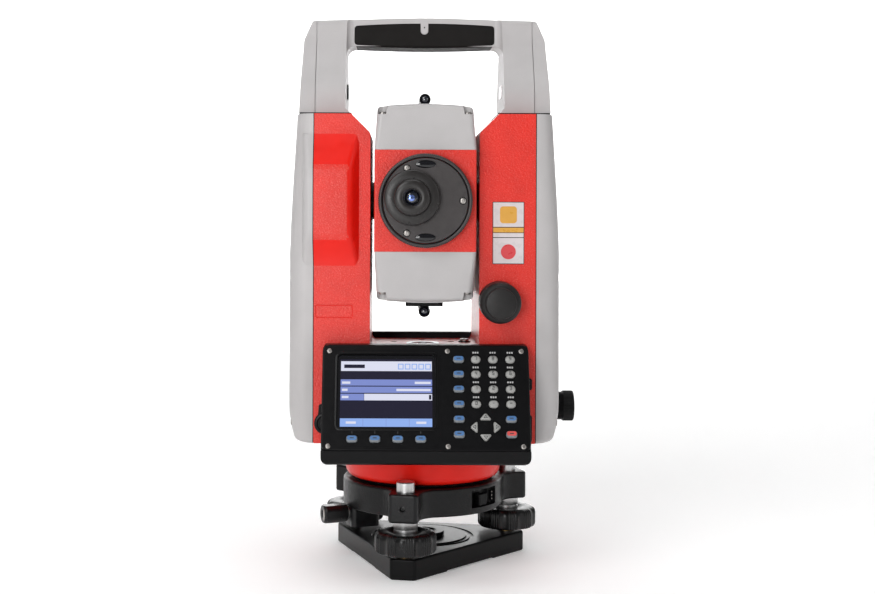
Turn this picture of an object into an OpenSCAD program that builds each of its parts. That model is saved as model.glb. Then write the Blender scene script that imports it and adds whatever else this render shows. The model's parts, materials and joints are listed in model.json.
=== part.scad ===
// Surveying total station standing on its three-screw tribrach.
// Millimetres, +Z up. The origin is on the vertical axis, at the mouth of the tripod thread in the
// underside of the base plate. The operator looks along +Y, so the eyepiece and the main display
// are on the -Y side.

/* [Tribrach] */
// Radius of the circle that carries the three foot screws
foot_circle_r = 59; // [58:0.5:61]
// Turn of the tribrach under the instrument, in degrees
tribrach_turn = -11; // [-16:1:-8]
// Thickness of the base plate
plate_h = 13; // [12:0.5:13.5]
// Distance from the axis to each cut corner of the base plate
plate_reach = 68; // [65:0.5:70]
// Radius of a foot screw's knob
foot_knob_r = 19; // [17:0.5:20]
// Height of the underside of the tribrach head
head_z = 34.5; // [33:0.5:35]
// Thickness of the tribrach head
head_h = 17.5; // [16:0.5:17.5]
// Distance from the axis to the square end of each arm
arm_reach = 69.5; // [68:0.5:72]

/* [Alidade] */
// Height of the underside of the standards
frame_z = 80; // [78:1:81]
// Height of the top of the standards
frame_top = 282.5; // [278:0.5:286]
// Height of the platform between the standards
platform_z = 136; // [134:1:138]
// Clear width between the two standards
standard_gap = 67; // [66:0.5:70]
// Width of the painted frame, without its side covers
frame_w = 136.6; // [132:0.2:138]
// Width over the two side covers
body_w = 167.2; // [165:0.2:172]
// Depth of the standards
body_d = 100; // [96:1:102]
// Height of the trunnion axis
trunnion_z = 229; // [228:0.5:230]
// Height of the top of the handle
handle_top = 346; // [342:0.2:348]
// Length of the soft grip on the handle
grip_l = 89; // [80:1:92]

/* [Telescope] */
// Width of the telescope
scope_w = 62; // [58:0.5:63]
// Height of the painted middle band of the telescope
band_h = 62; // [60:0.5:64]
// Height of the telescope's top cover over the tilt axis, mm
scope_up = 59.4; // [57:0.2:61]
// Depth of its bottom cover under the tilt axis, mm
scope_down = 62.4; // [60:0.2:64]
// Length of the telescope's housing
scope_l = 124; // [120:1:126]
// Outside radius of the focusing ring
focus_r = 28.6; // [28:0.1:30]
// Sideways place of the eyepiece
eyepiece_x = -8.2; // [-8.6:0.1:0]
// Height of the eyepiece above the trunnion axis
eyepiece_up = 1.8; // [0:0.1:2]

/* [Display] */
// Left edge of the display unit
display_left = -61.8; // [-63:0.2:-61]
// Right edge of the display unit
display_right = 62.8; // [61:0.2:64]
// Length of the sloping face
face_l = 65.3; // [64.5:0.1:66]
// Lean of the face from vertical, in degrees
face_lean = 20.8; // [19:0.1:22]
// Distance of the face's lower edge in front of the axis
face_front = 85; // [84:0.5:86]
// Height of the face's lower edge
face_low = 81; // [80.5:0.5:82]
// Lowest point of the display unit
chin_z = 72.5; // [72:0.5:74]
// Distance between the rows of keys
key_row_pitch = 9.15; // [9:0.05:9.3]
// Distance between the columns of keys
key_col_pitch = 10.35; // [10.2:0.05:10.4]
// How far a key stands out of the face
key_proud = 1.4; // [1.2:0.1:1.8]

/* [Hidden] */
$fn = 48;
fit = 0.05;                       // radial clearance of a running fit
red = [0.88, 0.2, 0.17];
grey = [0.74, 0.73, 0.72];
black = [0.12, 0.12, 0.13];
steel = [0.78, 0.78, 0.8];
clear = [0.6, 0.75, 0.85, 0.6];
key_blue = [0.24, 0.42, 0.66];
key_grey = [0.62, 0.62, 0.63];
key_red = [0.85, 0.25, 0.22];

screw_turns = [for (k = [0:2]) tribrach_turn - 90 + 120 * k];
lock_turn = -160.5;
pocket_turn = -40.5;
head_r = 51;
head_top = head_z + head_h;
spindle_r = 5.7;
collar_r = 7.5;
foot_r = 4;
foot_z = 7;                       // lowest point of a foot screw
knob_z = 15.5;
knob_top = 28.5;
lock_z = 31;
lock_shaft_r = 3;
thread_r = 7.94;                  // 5/8 inch tripod thread, nominal radius
hub_top = 16.5;
sleeve_r = 14;
spigot_r = 30;
axle_r = 9;
axle_z = head_z + 7.5;
axle_top = 118;
circle_z = 92;                    // horizontal coded circle
circle_in_r = 12;
bowl_z = head_top + 1.6;
half_gap = standard_gap / 2;
half_frame = frame_w / 2;
half_body = body_w / 2;
half_d = body_d / 2;
bulge_x = -74;                    // bulge on the left standard, from here to bulge_in
bulge_in = -44.5;
wall = 4;
cover_wall = 3;
bearing_r = 12;
lead = 11.9;                      // 45 degree lead-in above the trunnion
drive_x = 45.5;                   // vertical drive knob
drive_z = 167.5;
side_drive_y = -10;               // horizontal drive knob
side_drive_z = 98.4;
battery_w = 44;
battery_z = 104;
battery_top = 172;
level_y = 14;
level_r = 11;
level_z = platform_z - 7;
drive_shaft_r = 5;
opening_half = 49.5;              // half width of the gap under the handle
bar_z = 327.6;
bar_d = 28.4;                     // front to back
core_r = 8;
half_scope = scope_w / 2;
half_band = band_h / 2;
half_l = scope_l / 2;
boss_r = 25.9;
boss_y = -71.4;
barrel_r = 28;
barrel_y = 80;
root_r = 10;                      // root of a trunnion, pressed into the telescope
root_x = 22;
sight_r = 3.6;
vertical_circle_x = 50;
hub_r = 8;
eyepiece_r = 9;                   // radius of the eyepiece's threaded shank
eyepiece_in = 13;
lens_r = 22;
lens_in = 12;
rear_face_l = face_l - 2.4;
bezel_t = 3;
bezel_lip = 1.2;
window_x = -23.1;
window_v = 36.2;
window_w = 59;
window_h = 45.2;
key_foot = -4.2;
key_gap = 0.25;
face_mid = (display_left + display_right) / 2;
face_w = display_right - display_left;
back_gap = 0.05;

// Keys: [name, kind, place across the face, place up the face, direction of an arrow]
key_x0 = 20.3;
key_v0 = 10.1;
pad_x = 36;
pad_v = 14.5;
function col(i) = key_x0 + i * key_col_pitch;
function row(j) = key_v0 + j * key_row_pitch;
KEYS = concat(
    [for (i = [0:3]) [str("key_f", i + 1), "soft", -43.4 + 13.6 * i, 7.2, 0]],
    [for (j = [0:5]) [str("key_c", j + 1), "soft", col(0), row(5 - j), 0]],
    [for (n = [1:9]) [str("key_", n), "round", col(1 + (n - 1) % 3), row(3 + floor((n - 1) / 3)), 0]],
    [["key_0", "round", col(1), row(2), 0],
     ["key_point", "round", col(2), row(2), 0],
     ["key_minus", "round", col(3), row(2), 0],
     ["key_up", "arrow", pad_x, pad_v + 6.3, 90],
     ["key_left", "arrow", pad_x - 6.85, pad_v, 180],
     ["key_right", "arrow", pad_x + 6.85, pad_v, 0],
     ["key_down", "arrow", pad_x, pad_v - 6.3, -90],
     ["key_blue", "soft", col(3), row(1), 0],
     ["key_red", "soft", col(3), row(0), 0]]);

// ---- helpers ----

// Outline with rounded corners: each point is [x, y, radius], radius 0 keeps the corner sharp.
function fillet(points, steps = 4) = [
    for (i = [0:len(points) - 1])
        let (
            n = len(points),
            r = points[i][2],
            here = [points[i].x, points[i].y],
            before = [points[(i + n - 1) % n].x, points[(i + n - 1) % n].y],
            after = [points[(i + 1) % n].x, points[(i + 1) % n].y],
            u = (before - here) / norm(before - here),
            v = (after - here) / norm(after - here),
            half = acos(u * v) / 2,
            centre = here + (u + v) / norm(u + v) * r / sin(half),
            start = here + u * r / tan(half) - centre,
            sweep = -sign(cross(u, v)) * (180 - 2 * half),
            first = atan2(start.y, start.x))
        each r == 0 ? [here]
            : [for (k = [0:steps]) let (a = first + sweep * k / steps) centre + r * [cos(a), sin(a)]]];

function box_outline(w, h, r) = [
    [-w / 2, -h / 2, r], [w / 2, -h / 2, r], [w / 2, h / 2, r], [-w / 2, h / 2, r]];

// Front view outline, drawn in x and z, made solid from y0 to y1
module front_view(points, y0, y1) {
    translate([0, y1, 0]) rotate([90, 0, 0]) linear_extrude(y1 - y0) polygon(points);
}

// Side view outline, drawn in y and z, made solid from x0 to x1
module side_view(points, x0, x1) {
    translate([x0, 0, 0]) rotate([90, 0, 90]) linear_extrude(x1 - x0) polygon(points);
}

// Cylinder along Y from y0 to y1 at (x, z)
module rod_y(x, z, r, y0, y1) {
    translate([x, y1, z]) rotate([90, 0, 0]) cylinder(r = r, h = y1 - y0);
}

// Cylinder along X from x0 to x1 at (y, z)
module rod_x(y, z, r, x0, x1) {
    translate([x0, y, z]) rotate([0, 90, 0]) cylinder(r = r, h = x1 - x0);
}

module ring(r_in, r_out, z0, z1) {
    translate([0, 0, z0]) difference() {
        cylinder(r = r_out, h = z1 - z0);
        translate([0, 0, -1]) cylinder(r = r_in, h = z1 - z0 + 2);
    }
}

module box(low, high) {
    translate(low) cube(high - low);
}

module at_screws() {
    for (a = screw_turns) rotate([0, 0, a]) translate([foot_circle_r, 0, 0]) children();
}

// Local frame of the sloping face: x across, y up the face, z out of it
module on_face(x = 0, v = 0) {
    translate([x, -face_front + v * sin(face_lean), face_low + v * cos(face_lean)])
        rotate([90 - face_lean, 0, 0]) children();
}

// Point [y, z] of the display's side view, v up the face and depth behind it
function face_point(v, depth) = [
    -face_front + v * sin(face_lean) + depth * cos(face_lean),
    face_low + v * cos(face_lean) - depth * sin(face_lean)];

// ---- tribrach ----

module base_plate() {
    corner_half = 7.5;
    corner_round = 3;
    pad_in = 48;
    pad_half = 17;
    relief_h = 1;
    centre_pad_r = 26;
    disc_r = 28.5;
    disc_up = 0.8;
    outline = [for (a = screw_turns, s = [-1, 1])
        [plate_reach * cos(a) - s * corner_half * sin(a),
         plate_reach * sin(a) + s * corner_half * cos(a), corner_round]];
    color(black) difference() {
        union() {
            linear_extrude(plate_h) polygon(fillet(outline));
            translate([0, 0, plate_h]) cylinder(r = disc_r, h = disc_up);
            translate([0, 0, plate_h]) cylinder(r = sleeve_r, h = hub_top - plate_h);
        }
        translate([0, 0, -1]) cylinder(r = thread_r, h = hub_top + 2);
        translate([0, 0, hub_top - 1]) cylinder(r1 = thread_r, r2 = thread_r + 1.1, h = 1.1);
        ring(disc_r + 2, disc_r + 4.5, plate_h - 0.8, plate_h + 1);
        at_screws() translate([0, 0, foot_z]) cylinder(r = foot_r + fit, h = plate_h);
        difference() {
            ring(centre_pad_r, 2 * plate_reach, -relief_h, relief_h);
            for (a = screw_turns) rotate([0, 0, a])
                box([pad_in, -pad_half, -2], [plate_reach + 9, pad_half, 2]);
        }
    }
}

// One turned piece: foot, knob with its finger flutes, collar and spindle, on its own axis
module foot_screw(turn) {
    flutes = 10;
    flute_r = 5;
    spindle_top = 58.5;
    rotate([0, 0, turn]) translate([foot_circle_r, 0, 0]) {
        color(black) difference() {
            rotate_extrude() polygon([
                [spindle_r, knob_z], [foot_knob_r - 1, knob_z], [foot_knob_r, knob_z + 1],
                [foot_knob_r, knob_top - 2.4], [foot_knob_r - 1.6, knob_top - 0.6],
                [collar_r + 2.5, knob_top], [collar_r, knob_top - 1], [spindle_r, knob_top - 1]]);
            for (k = [0:flutes - 1]) rotate([0, 0, 360 * k / flutes])
                translate([foot_knob_r + flute_r - 0.9, 0, knob_z - 1])
                    cylinder(r = flute_r, h = foot_knob_r);
        }
        color(steel) rotate_extrude() polygon([
            [0, foot_z], [foot_r - 1.5, foot_z], [foot_r, foot_z + 1.5],
            [foot_r, knob_z - 0.5], [spindle_r, knob_z - 0.5],
            [spindle_r, knob_top - 1], [collar_r, knob_top - 1], [collar_r, head_z + 3.4],
            [spindle_r, head_z + 3.4], [spindle_r, spindle_top - 0.5], [spindle_r - 0.6, spindle_top],
            [0, spindle_top + 0.4]]);
    }
}

// Outline of the round head with its arms, each led into the head by a hollow curve
function head_outline(arm_half, arm_round, neck_r, steps = 6) =
    let (
        neck_y = arm_half + neck_r,
        neck_x = sqrt(pow(head_r + neck_r, 2) - neck_y * neck_y),
        phi = atan2(neck_y, neck_x),
        neck = [for (k = [0:steps - 1]) let (t = 180 + phi + (90 - phi) * k / steps)
            [neck_x + neck_r * cos(t), neck_y + neck_r * sin(t)]],
        arm_end = fillet([[neck_x, -arm_half, 0], [arm_reach, -arm_half, arm_round],
            [arm_reach, arm_half, arm_round], [neck_x, arm_half, 0]]),
        rim = [for (k = [1:steps]) let (t = phi + (120 - 2 * phi) * k / (steps + 1))
            head_r * [cos(t), sin(t)]],
        third = concat([for (p = neck) [p.x, -p.y]], arm_end,
            [for (k = [steps - 1:-1:0]) neck[k]], rim))
    [for (a = screw_turns, p = third) [p.x * cos(a) - p.y * sin(a), p.x * sin(a) + p.y * cos(a)]];

module tribrach_head() {
    arm_half = 9.3;
    arm_round = 3;
    neck_r = 14;
    counterbore = 8;
    set_screw_r = 1.8;
    color(black) difference() {
        union() {
            translate([0, 0, head_z]) linear_extrude(head_h)
                polygon(head_outline(arm_half, arm_round, neck_r));
            rotate([0, 0, lock_turn]) box([32, -9, 23], [50.4, 9, head_z + 1]);
        }
        translate([0, 0, head_z - 1]) cylinder(r = spigot_r, h = head_h + 2);
        at_screws() {
            translate([0, 0, head_z - 1]) cylinder(r = spindle_r + fit, h = head_h + 2);
            translate([0, 0, head_z - 1]) cylinder(r = collar_r + fit, h = counterbore + 1);
        }
        for (a = screw_turns) rotate([0, 0, a])
            rod_x(0, head_z + head_h / 2, set_screw_r, arm_reach - 2.7, arm_reach + 1);
        rotate([0, 0, pocket_turn]) box([45.5, -12, head_z + 4], [60, 12, head_top - 2.5]);
        rotate([0, 0, lock_turn]) rod_x(0, lock_z, lock_shaft_r + fit, 31, 54);
    }
}

module lock_knob() {
    knob_half = 5.4;
    knob_r = 6.4;
    knob_in = 51.6;
    knob_out = 67.4;
    slot_l = 5;
    color(black) rotate([0, 0, lock_turn]) difference() {
        union() {
            rod_x(0, lock_z, lock_shaft_r, 34, knob_in + 1);
            intersection() {
                rod_x(0, lock_z, knob_r, knob_in, knob_out);
                box([knob_in - 1, -knob_r - 1, lock_z - knob_half],
                    [knob_out + 1, knob_r + 1, lock_z + knob_half]);
            }
        }
        box([knob_out - 0.8, -slot_l, lock_z - 0.7], [knob_out + 1, 1.5, lock_z + 0.7]);
    }
}

// Fixed part of the instrument: the plate clamped on the head, its spigot and the bearing sleeve
module base_flange() {
    sleeve_top = 100;
    disc_h = 1.2;
    spigot_h = head_h - 3.5;
    color(black) difference() {
        union() {
            translate([0, 0, head_top]) cylinder(r = 45, h = disc_h);
            translate([0, 0, head_top - spigot_h]) cylinder(r = spigot_r - fit, h = spigot_h + disc_h);
            translate([0, 0, head_top]) cylinder(r = sleeve_r, h = circle_z - head_top);
            translate([0, 0, head_top]) cylinder(r = circle_in_r, h = sleeve_top - head_top);
        }
        translate([0, 0, axle_z - 0.5]) cylinder(r = axle_r + fit, h = sleeve_top);
    }
}

module horizontal_circle() {
    color(clear) ring(circle_in_r, 31, circle_z, circle_z + 2);
}

module vertical_axle() {
    head_t = 6;
    color(steel) {
        translate([0, 0, axle_z]) cylinder(r = axle_r, h = axle_top - axle_z);
        translate([0, 0, axle_top - head_t]) cylinder(r = 24, h = head_t);
    }
}

module base_bowl() {
    lip_r = 45.5;
    rim_r = 58;
    hole_r = 16;
    skin = 2.6;
    // quarter-ellipse foot that opens into a straight flare
    foot_w = 4.2;
    foot_h = 6;
    function foot(inset) = [for (k = [0:4]) [
        lip_r - inset + foot_w * sin(90 * k / 4),
        bowl_z + inset + foot_h * (1 - cos(90 * k / 4))]];
    outer = concat(foot(0), [[rim_r - 4, frame_z - 8], [rim_r, frame_z]]);
    inner = concat([[rim_r - 3, frame_z], [rim_r - 7, frame_z - 8]], [for (k = [4:-1:0]) foot(skin)[k]]);
    color(red) rotate_extrude() polygon(concat([[hole_r, bowl_z]], outer, inner, [[hole_r, bowl_z + skin]]));
}

// ---- alidade ----

module yoke_frame() {
    slope = 3.5 * sqrt(2);
    bearing_out = 20;
    bearing_x = 45;
    cavity_r = 34;
    plate_low = [-67, 157];
    plate_size = [23, 8];
    outline = [
        [-half_frame, frame_z, 1], [half_frame, frame_z, 1], [half_frame, frame_top, 0],
        [half_gap + lead, frame_top, 0], [half_gap, frame_top - lead, 2], [half_gap, platform_z, 2],
        [-half_gap, platform_z, 2], [-half_gap, frame_top - lead, 2], [-half_gap - lead, frame_top, 0],
        [-half_frame, frame_top, 0]];
    pocket = [
        [half_gap + wall, frame_z + wall], [half_frame + 1, frame_z + wall],
        [half_frame + 1, frame_top - wall], [half_gap + lead - wall + slope, frame_top - wall],
        [half_gap + wall, frame_top - lead - slope + wall]];
    color(red) difference() {
        union() {
            difference() {
                front_view(fillet(outline), -half_d, half_d);
                for (s = [0, 1]) mirror([s, 0, 0]) front_view(pocket, -half_d + wall, half_d - wall);
            }
            for (s = [0, 1]) mirror([s, 0, 0]) rod_x(0, trunnion_z, bearing_out, half_gap, bearing_x);
            side_view(bulge_side(), -half_frame, bulge_in);
        }
        for (s = [0, 1]) mirror([s, 0, 0]) rod_x(0, trunnion_z, bearing_r + fit, half_gap - 1, bearing_x + 1);
        translate([0, 0, frame_z - 1]) cylinder(r = cavity_r, h = axle_top - frame_z + 1);
        translate([0, level_y, level_z]) cylinder(r = level_r + fit, h = 8);
        for (p = [[-19, 24], [19, 24], [0, 38]])
            translate([p.x, p.y, platform_z - 3]) cylinder(r = 2.3, h = 4);
        rod_y(drive_x, drive_z, drive_shaft_r + fit, -half_d - 1, -half_d + wall + 1);
        translate([plate_low.x, -half_d - 1, plate_low.y]) cube([plate_size.x, 1.5, plate_size.y]);
    }
}

// Side view of the bulge on the front of the left standard
function bulge_side() =
    let (out = 7.5, foot = 189, top = 270, flat_low = 206, flat_high = 250)
    fillet([[-half_d + 1, top, 0], [-half_d, top, 2], [-half_d - out, flat_high, 5],
        [-half_d - out, flat_low, 5], [-half_d, foot, 2], [-half_d + 1, foot, 0]]);

// Cover shape on the +X side, inset by t all round
module cover_form(t) {
    inner_x = half_frame - (t > 0 ? 1 : 0);
    edge_r = 11;
    front = [
        [inner_x, frame_z + t, 0], [half_body - 4.2 - t, frame_z + t, 4], [half_body - t, frame_z + 24, 20],
        [half_body - t, 196, 40], [half_body - 4.6 - t, frame_top - t, 0], [inner_x, frame_top - t, 0]];
    plan = [
        [inner_x, -half_d + t, 0], [half_body - t, -half_d + t, edge_r - t],
        [half_body - t, half_d - t, edge_r - t], [inner_x, half_d - t, 0]];
    intersection() {
        front_view(fillet(front), -half_d - 1, half_d + 1);
        translate([0, 0, frame_z - 1]) linear_extrude(frame_top - frame_z + 2) polygon(fillet(plan));
    }
}

module left_side_cover() {
    slack = 0.4;
    color(grey) difference() {
        union() {
            mirror([1, 0, 0]) difference() {
                cover_form(0);
                cover_form(cover_wall);
            }
            side_view(bulge_side(), bulge_x, -half_frame);
        }
        box([-half_body - 1, -battery_w / 2 - slack, battery_z - slack],
            [-half_body + 8, battery_w / 2 + slack, battery_top + slack]);
    }
}

module right_side_cover() {
    color(grey) difference() {
        union() {
            difference() {
                cover_form(0);
                cover_form(cover_wall);
            }
            rod_x(side_drive_y, side_drive_z, 8.6, half_body - cover_wall - 1, half_body);
        }
        rod_x(side_drive_y, side_drive_z, drive_shaft_r + fit, half_body - cover_wall - 4, half_body + 1);
    }
}

module handle_form() {
    top_end = 2.4;
    outline = [
        [78.4, frame_top, 0], [76.4, 331, 6], [71, handle_top - top_end, 2], [0, handle_top, 200],
        [-71, handle_top - top_end, 2], [-76.4, 331, 6], [-78.4, frame_top, 0],
        [-half_gap - lead, frame_top, 0], [-opening_half, frame_top + 4.1, 0],
        [-opening_half, bar_z, 5], [opening_half, bar_z, 5], [opening_half, frame_top + 4.1, 0],
        [half_gap + lead, frame_top, 0]];
    side = [
        [-38, frame_top, 0], [38, frame_top, 0], [36, 300, 20], [18, bar_z + 3, 20],
        [17, handle_top, 5], [-17, handle_top, 5], [-18, bar_z + 3, 20], [-36, 300, 20]];
    set_back = [[-opening_half, bar_d / 2, 4], [opening_half, bar_d / 2, 4], [opening_half, 50, 0],
        [-opening_half, 50, 0]];
    difference() {
        intersection() {
            front_view(fillet(outline), -50, 50);
            side_view(fillet(side), -90, 90);
        }
        for (s = [0, 1]) mirror([0, s, 0]) translate([0, 0, bar_z - 4])
            linear_extrude(handle_top - bar_z + 5) polygon(fillet(set_back));
    }
}

// The room that the grip fills round the core of the handle bar
module grip_room() {
    tab_w = 5;
    tab_z = handle_top - 8.4;
    difference() {
        box([-grip_l / 2, -20, bar_z - 2], [grip_l / 2, 20, handle_top - 4]);
        box([-grip_l / 2 - 1, -core_r, bar_z + 4.5], [grip_l / 2 + 1, core_r, handle_top]);
        box([-tab_w / 2, -21, tab_z], [tab_w / 2, 21, handle_top]);
        rod_y(0, tab_z, tab_w / 2, -21, 21);
    }
}

module handle() {
    color(grey) difference() {
        handle_form();
        grip_room();
    }
}

module handle_grip() {
    color(black) intersection() {
        handle_form();
        grip_room();
    }
}

module battery_pack() {
    inner_x = -44;
    face_t = 4.2;
    grip_z = 160;
    color(grey) difference() {
        union() {
            box([-half_body + 0.2, -battery_w / 2, battery_z],
                [-half_body + face_t, battery_w / 2, battery_top]);
            box([-half_body + face_t - 1, -battery_w / 2 + 2, battery_z + 2],
                [inner_x, battery_w / 2 - 2, battery_top - 2]);
        }
        box([-half_body - 1, -10, grip_z - 4], [-half_body + 2.6, 10, grip_z + 4]);
    }
}

module circular_level() {
    glass_r = 7.5;
    color(steel) translate([0, level_y, level_z]) difference() {
        cylinder(r = level_r, h = 7.3);
        translate([0, 0, 6.6]) cylinder(r = glass_r, h = 2);
    }
}

module vertical_drive_knob() {
    profile = [[0, 0], [12.1, 0], [12.6, 0.5], [12.6, 17], [12.1, 18.6], [11, 20.4], [9.4, 21.2],
        [9.2, 24.4], [8.6, 25], [0, 25]];
    color(black) {
        translate([drive_x, -half_d - 0.2, drive_z]) rotate([90, 0, 0]) rotate_extrude() polygon(profile);
        rod_y(drive_x, drive_z, drive_shaft_r, -half_d - 0.2, -half_d + 10);
    }
}

module horizontal_drive_knob() {
    profile = [[0, 0], [7.2, 0], [7.2, 5], [9, 5.6], [9.6, 6.2], [9.6, 11.4], [9, 12.2], [0, 12.2]];
    color(black) {
        translate([half_body + 0.2, side_drive_y, side_drive_z]) rotate([0, 90, 0])
            rotate_extrude() polygon(profile);
        rod_x(side_drive_y, side_drive_z, drive_shaft_r, half_body - 12, half_body + 0.2);
    }
}

// ---- display ----

// Side view of a display unit with a face of that length, cut back by depth behind its front
function display_side(length, depth) = [
    face_point(length, depth),
    [-half_d - back_gap, face_point(length, depth)[1] + 0.4],
    [-half_d - back_gap, frame_z + 0.5], [-60, frame_z + 0.5], [-60, chin_z],
    [-face_front + 2.4, chin_z], [-face_front + 0.9, chin_z + 1.2],
    face_point(0, 0), face_point(0, depth)];

module display_edges(length) {
    corner_r = 4.5;
    top = face_point(length, 0)[1] + 0.5;
    front_view(fillet([[display_left, chin_z, corner_r], [display_right, chin_z, corner_r],
        [display_right, top, corner_r], [display_left, top, corner_r]]), -face_front - 10, -half_d);
}

module display_housing() {
    cavity_d = 6;
    color(black) difference() {
        intersection() {
            side_view(display_side(face_l, bezel_t), display_left, display_right);
            display_edges(face_l);
        }
        on_face(face_mid, face_l / 2) translate([0, 0, -bezel_t - cavity_d / 2])
            cube([face_w - 6, face_l - 7, cavity_d + 0.01], center = true);
    }
}

module key_outline(kind, grow) {
    arrow_r = 1.3;
    arrow_half = 4.1;
    points = kind == "soft" ? box_outline(6.8 + 2 * grow, 4.6 + 2 * grow, 1.8 + grow)
        : kind == "round" ? box_outline(6.1 + 2 * grow, 5 + 2 * grow, 2.4 + grow)
        : [[-2.6 - grow, arrow_half + grow, arrow_r + grow],
            [-2.6 - grow, -arrow_half - grow, arrow_r + grow],
            [3.4 + grow, -1.2 - grow, arrow_r + grow], [3.4 + grow, 1.2 + grow, arrow_r + grow]];
    polygon(fillet(points, 3));
}

module display_bezel() {
    ledge = 1;
    seam = 0.02;
    color(black) difference() {
        intersection() {
            on_face(face_mid, (face_l + seam) / 2) translate([0, 0, -(bezel_t - seam) / 2])
                cube([face_w, face_l - seam, bezel_t - seam], center = true);
            display_edges(face_l);
        }
        on_face(window_x, window_v) {
            translate([0, 0, -5]) linear_extrude(10) polygon(fillet(box_outline(window_w, window_h, 2.5)));
            translate([-window_w / 2 - ledge, -window_h / 2 - ledge, -5])
                cube([window_w + 2 * ledge, window_h + 2 * ledge, 5 - bezel_lip]);
        }
        for (k = KEYS) on_face(k[2], k[3]) rotate([0, 0, k[4]]) translate([0, 0, -5])
            linear_extrude(10) key_outline(k[1], key_gap);
    }
}

module display_window() {
    border = 0.9;
    color(clear) on_face(window_x, window_v) translate([0, 0, -bezel_lip - 0.8])
        cube([window_w + 2 * border, window_h + 2 * border, 1.5], center = true);
}

module key(k) {
    tint = k[1] == "round" || k[1] == "arrow" ? key_grey : k[0] == "key_red" ? key_red : key_blue;
    color(tint) on_face(k[2], k[3]) rotate([0, 0, k[4]]) translate([0, 0, key_foot])
        linear_extrude(key_proud - key_foot) key_outline(k[1], 0);
}

module rear_display() {
    color(black) mirror([0, 1, 0]) intersection() {
        side_view(display_side(rear_face_l, 0), display_left, display_right);
        display_edges(rear_face_l);
    }
}

// ---- telescope ----

module scope_frame() {
    translate([0, 0, trunnion_z]) children();
}

module telescope_body() {
    tunnel_r = 15;
    tunnel_y = -52;
    color(red) scope_frame() difference() {
        union() {
            box([-half_scope, -half_l, -half_band], [half_scope, half_l, half_band]);
            rod_y(0, 0, barrel_r, half_l, barrel_y);
            rod_y(0, 0, boss_r, boss_y, -half_l);
        }
        rod_y(0, 0, tunnel_r, tunnel_y, barrel_y);
        rod_y(0, 0, lens_r + fit, barrel_y - lens_in, barrel_y + 1);
        rod_y(eyepiece_x, eyepiece_up, eyepiece_r + fit, boss_y - 1, boss_y + eyepiece_in + 1);
        rod_y(eyepiece_x, eyepiece_up, 6, boss_y, tunnel_y + 1);
        for (s = [0, 1]) mirror([s, 0, 0]) rod_x(0, 0, root_r, root_x, half_scope + 1);
    }
}

// Hollow cover on the upper side of the telescope
// Telescope cover that rises to height h over the tilt axis
module scope_cover(h) {
    taper = 1.7;
    rake = 5;
    crown = 2;
    function front(t) = fillet([[-half_scope + t, half_band, 0], [half_scope - t, half_band, 0],
        [half_scope - taper - t, h - crown - t, 5], [0, h - t, 60],
        [-half_scope + taper + t, h - crown - t, 5]]);
    function side(t) = fillet([[-half_l + t, half_band, 0], [half_l - t, half_band, 0],
        [half_l - rake - t, h - t, 6], [-half_l + rake + t, h - t, 6]]);
    difference() {
        intersection() {
            front_view(front(0), -half_l - 1, half_l + 1);
            side_view(side(0), -half_scope - 1, half_scope + 1);
        }
        intersection() {
            front_view(front(cover_wall), -half_l + 4, half_l - 4);
            side_view(side(cover_wall), -half_scope, half_scope);
        }
    }
}

module telescope_top_cover() {
    color(grey) scope_frame() scope_cover(scope_up);
}

module telescope_bottom_cover() {
    color(grey) scope_frame() mirror([0, 0, 1]) scope_cover(scope_down);
}

module focus_ring() {
    length = 8.4;
    color(black) scope_frame() translate([0, -half_l - 0.3, 0]) rotate([90, 0, 0])
        rotate_extrude() polygon([
            [boss_r + fit, 0], [focus_r - 0.5, 0], [focus_r, 0.6], [focus_r, length - 0.9],
            [focus_r - 0.7, length], [boss_r + 0.4, length], [boss_r + fit, length - 0.4]]);
}

module eyepiece() {
    profile = [[0, -eyepiece_in], [eyepiece_r, -eyepiece_in], [eyepiece_r, 0.3], [16.5, 0.3],
        [16.7, 0.8], [16.7, 5.2], [16, 6], [10.9, 6.2],
        [10.7, 11.4], [9.8, 12.2], [6, 12.6], [5.2, 12], [4, 9.6], [0, 10]];
    color(black) scope_frame() translate([eyepiece_x, boss_y, eyepiece_up]) rotate([90, 0, 0])
        rotate_extrude() polygon(profile);
}

module objective_lens() {
    color(clear) scope_frame() rod_y(0, 0, lens_r, barrel_y - lens_in, barrel_y - 5);
}

module trunnion_axle() {
    color(steel) scope_frame() for (s = [0, 1]) mirror([s, 0, 0]) {
        rod_x(0, 0, root_r, root_x + 0.2, half_scope);
        rod_x(0, 0, bearing_r, half_scope, 46);
        rod_x(0, 0, 16, 46, vertical_circle_x);
        rod_x(0, 0, hub_r, vertical_circle_x, 56);
    }
}

module vertical_circle() {
    color(clear) scope_frame() translate([vertical_circle_x, 0, 0]) rotate([0, 90, 0]) ring(hub_r, 30, 0, 2);
}

// Sighting tube with its axis at height up, on a foot of half width w from low to high
module sight(up, w, low, high) {
    y0 = -42;
    y1 = 26;
    difference() {
        union() {
            rod_y(0, up, sight_r, y0, y1);
            box([-w, y0 + 2, low], [w, y1 - 2, high]);
        }
        rod_y(0, up, sight_r - 1.1, y0 - 1, y0 + 3);
    }
}

module sights() {
    color(black) scope_frame() {
        sight(scope_up + sight_r, 2.4, scope_up, scope_up + 2);
        mirror([0, 0, 1]) sight(scope_down + 6.2, 11.6, scope_down, scope_down + 3.2);
    }
}

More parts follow.
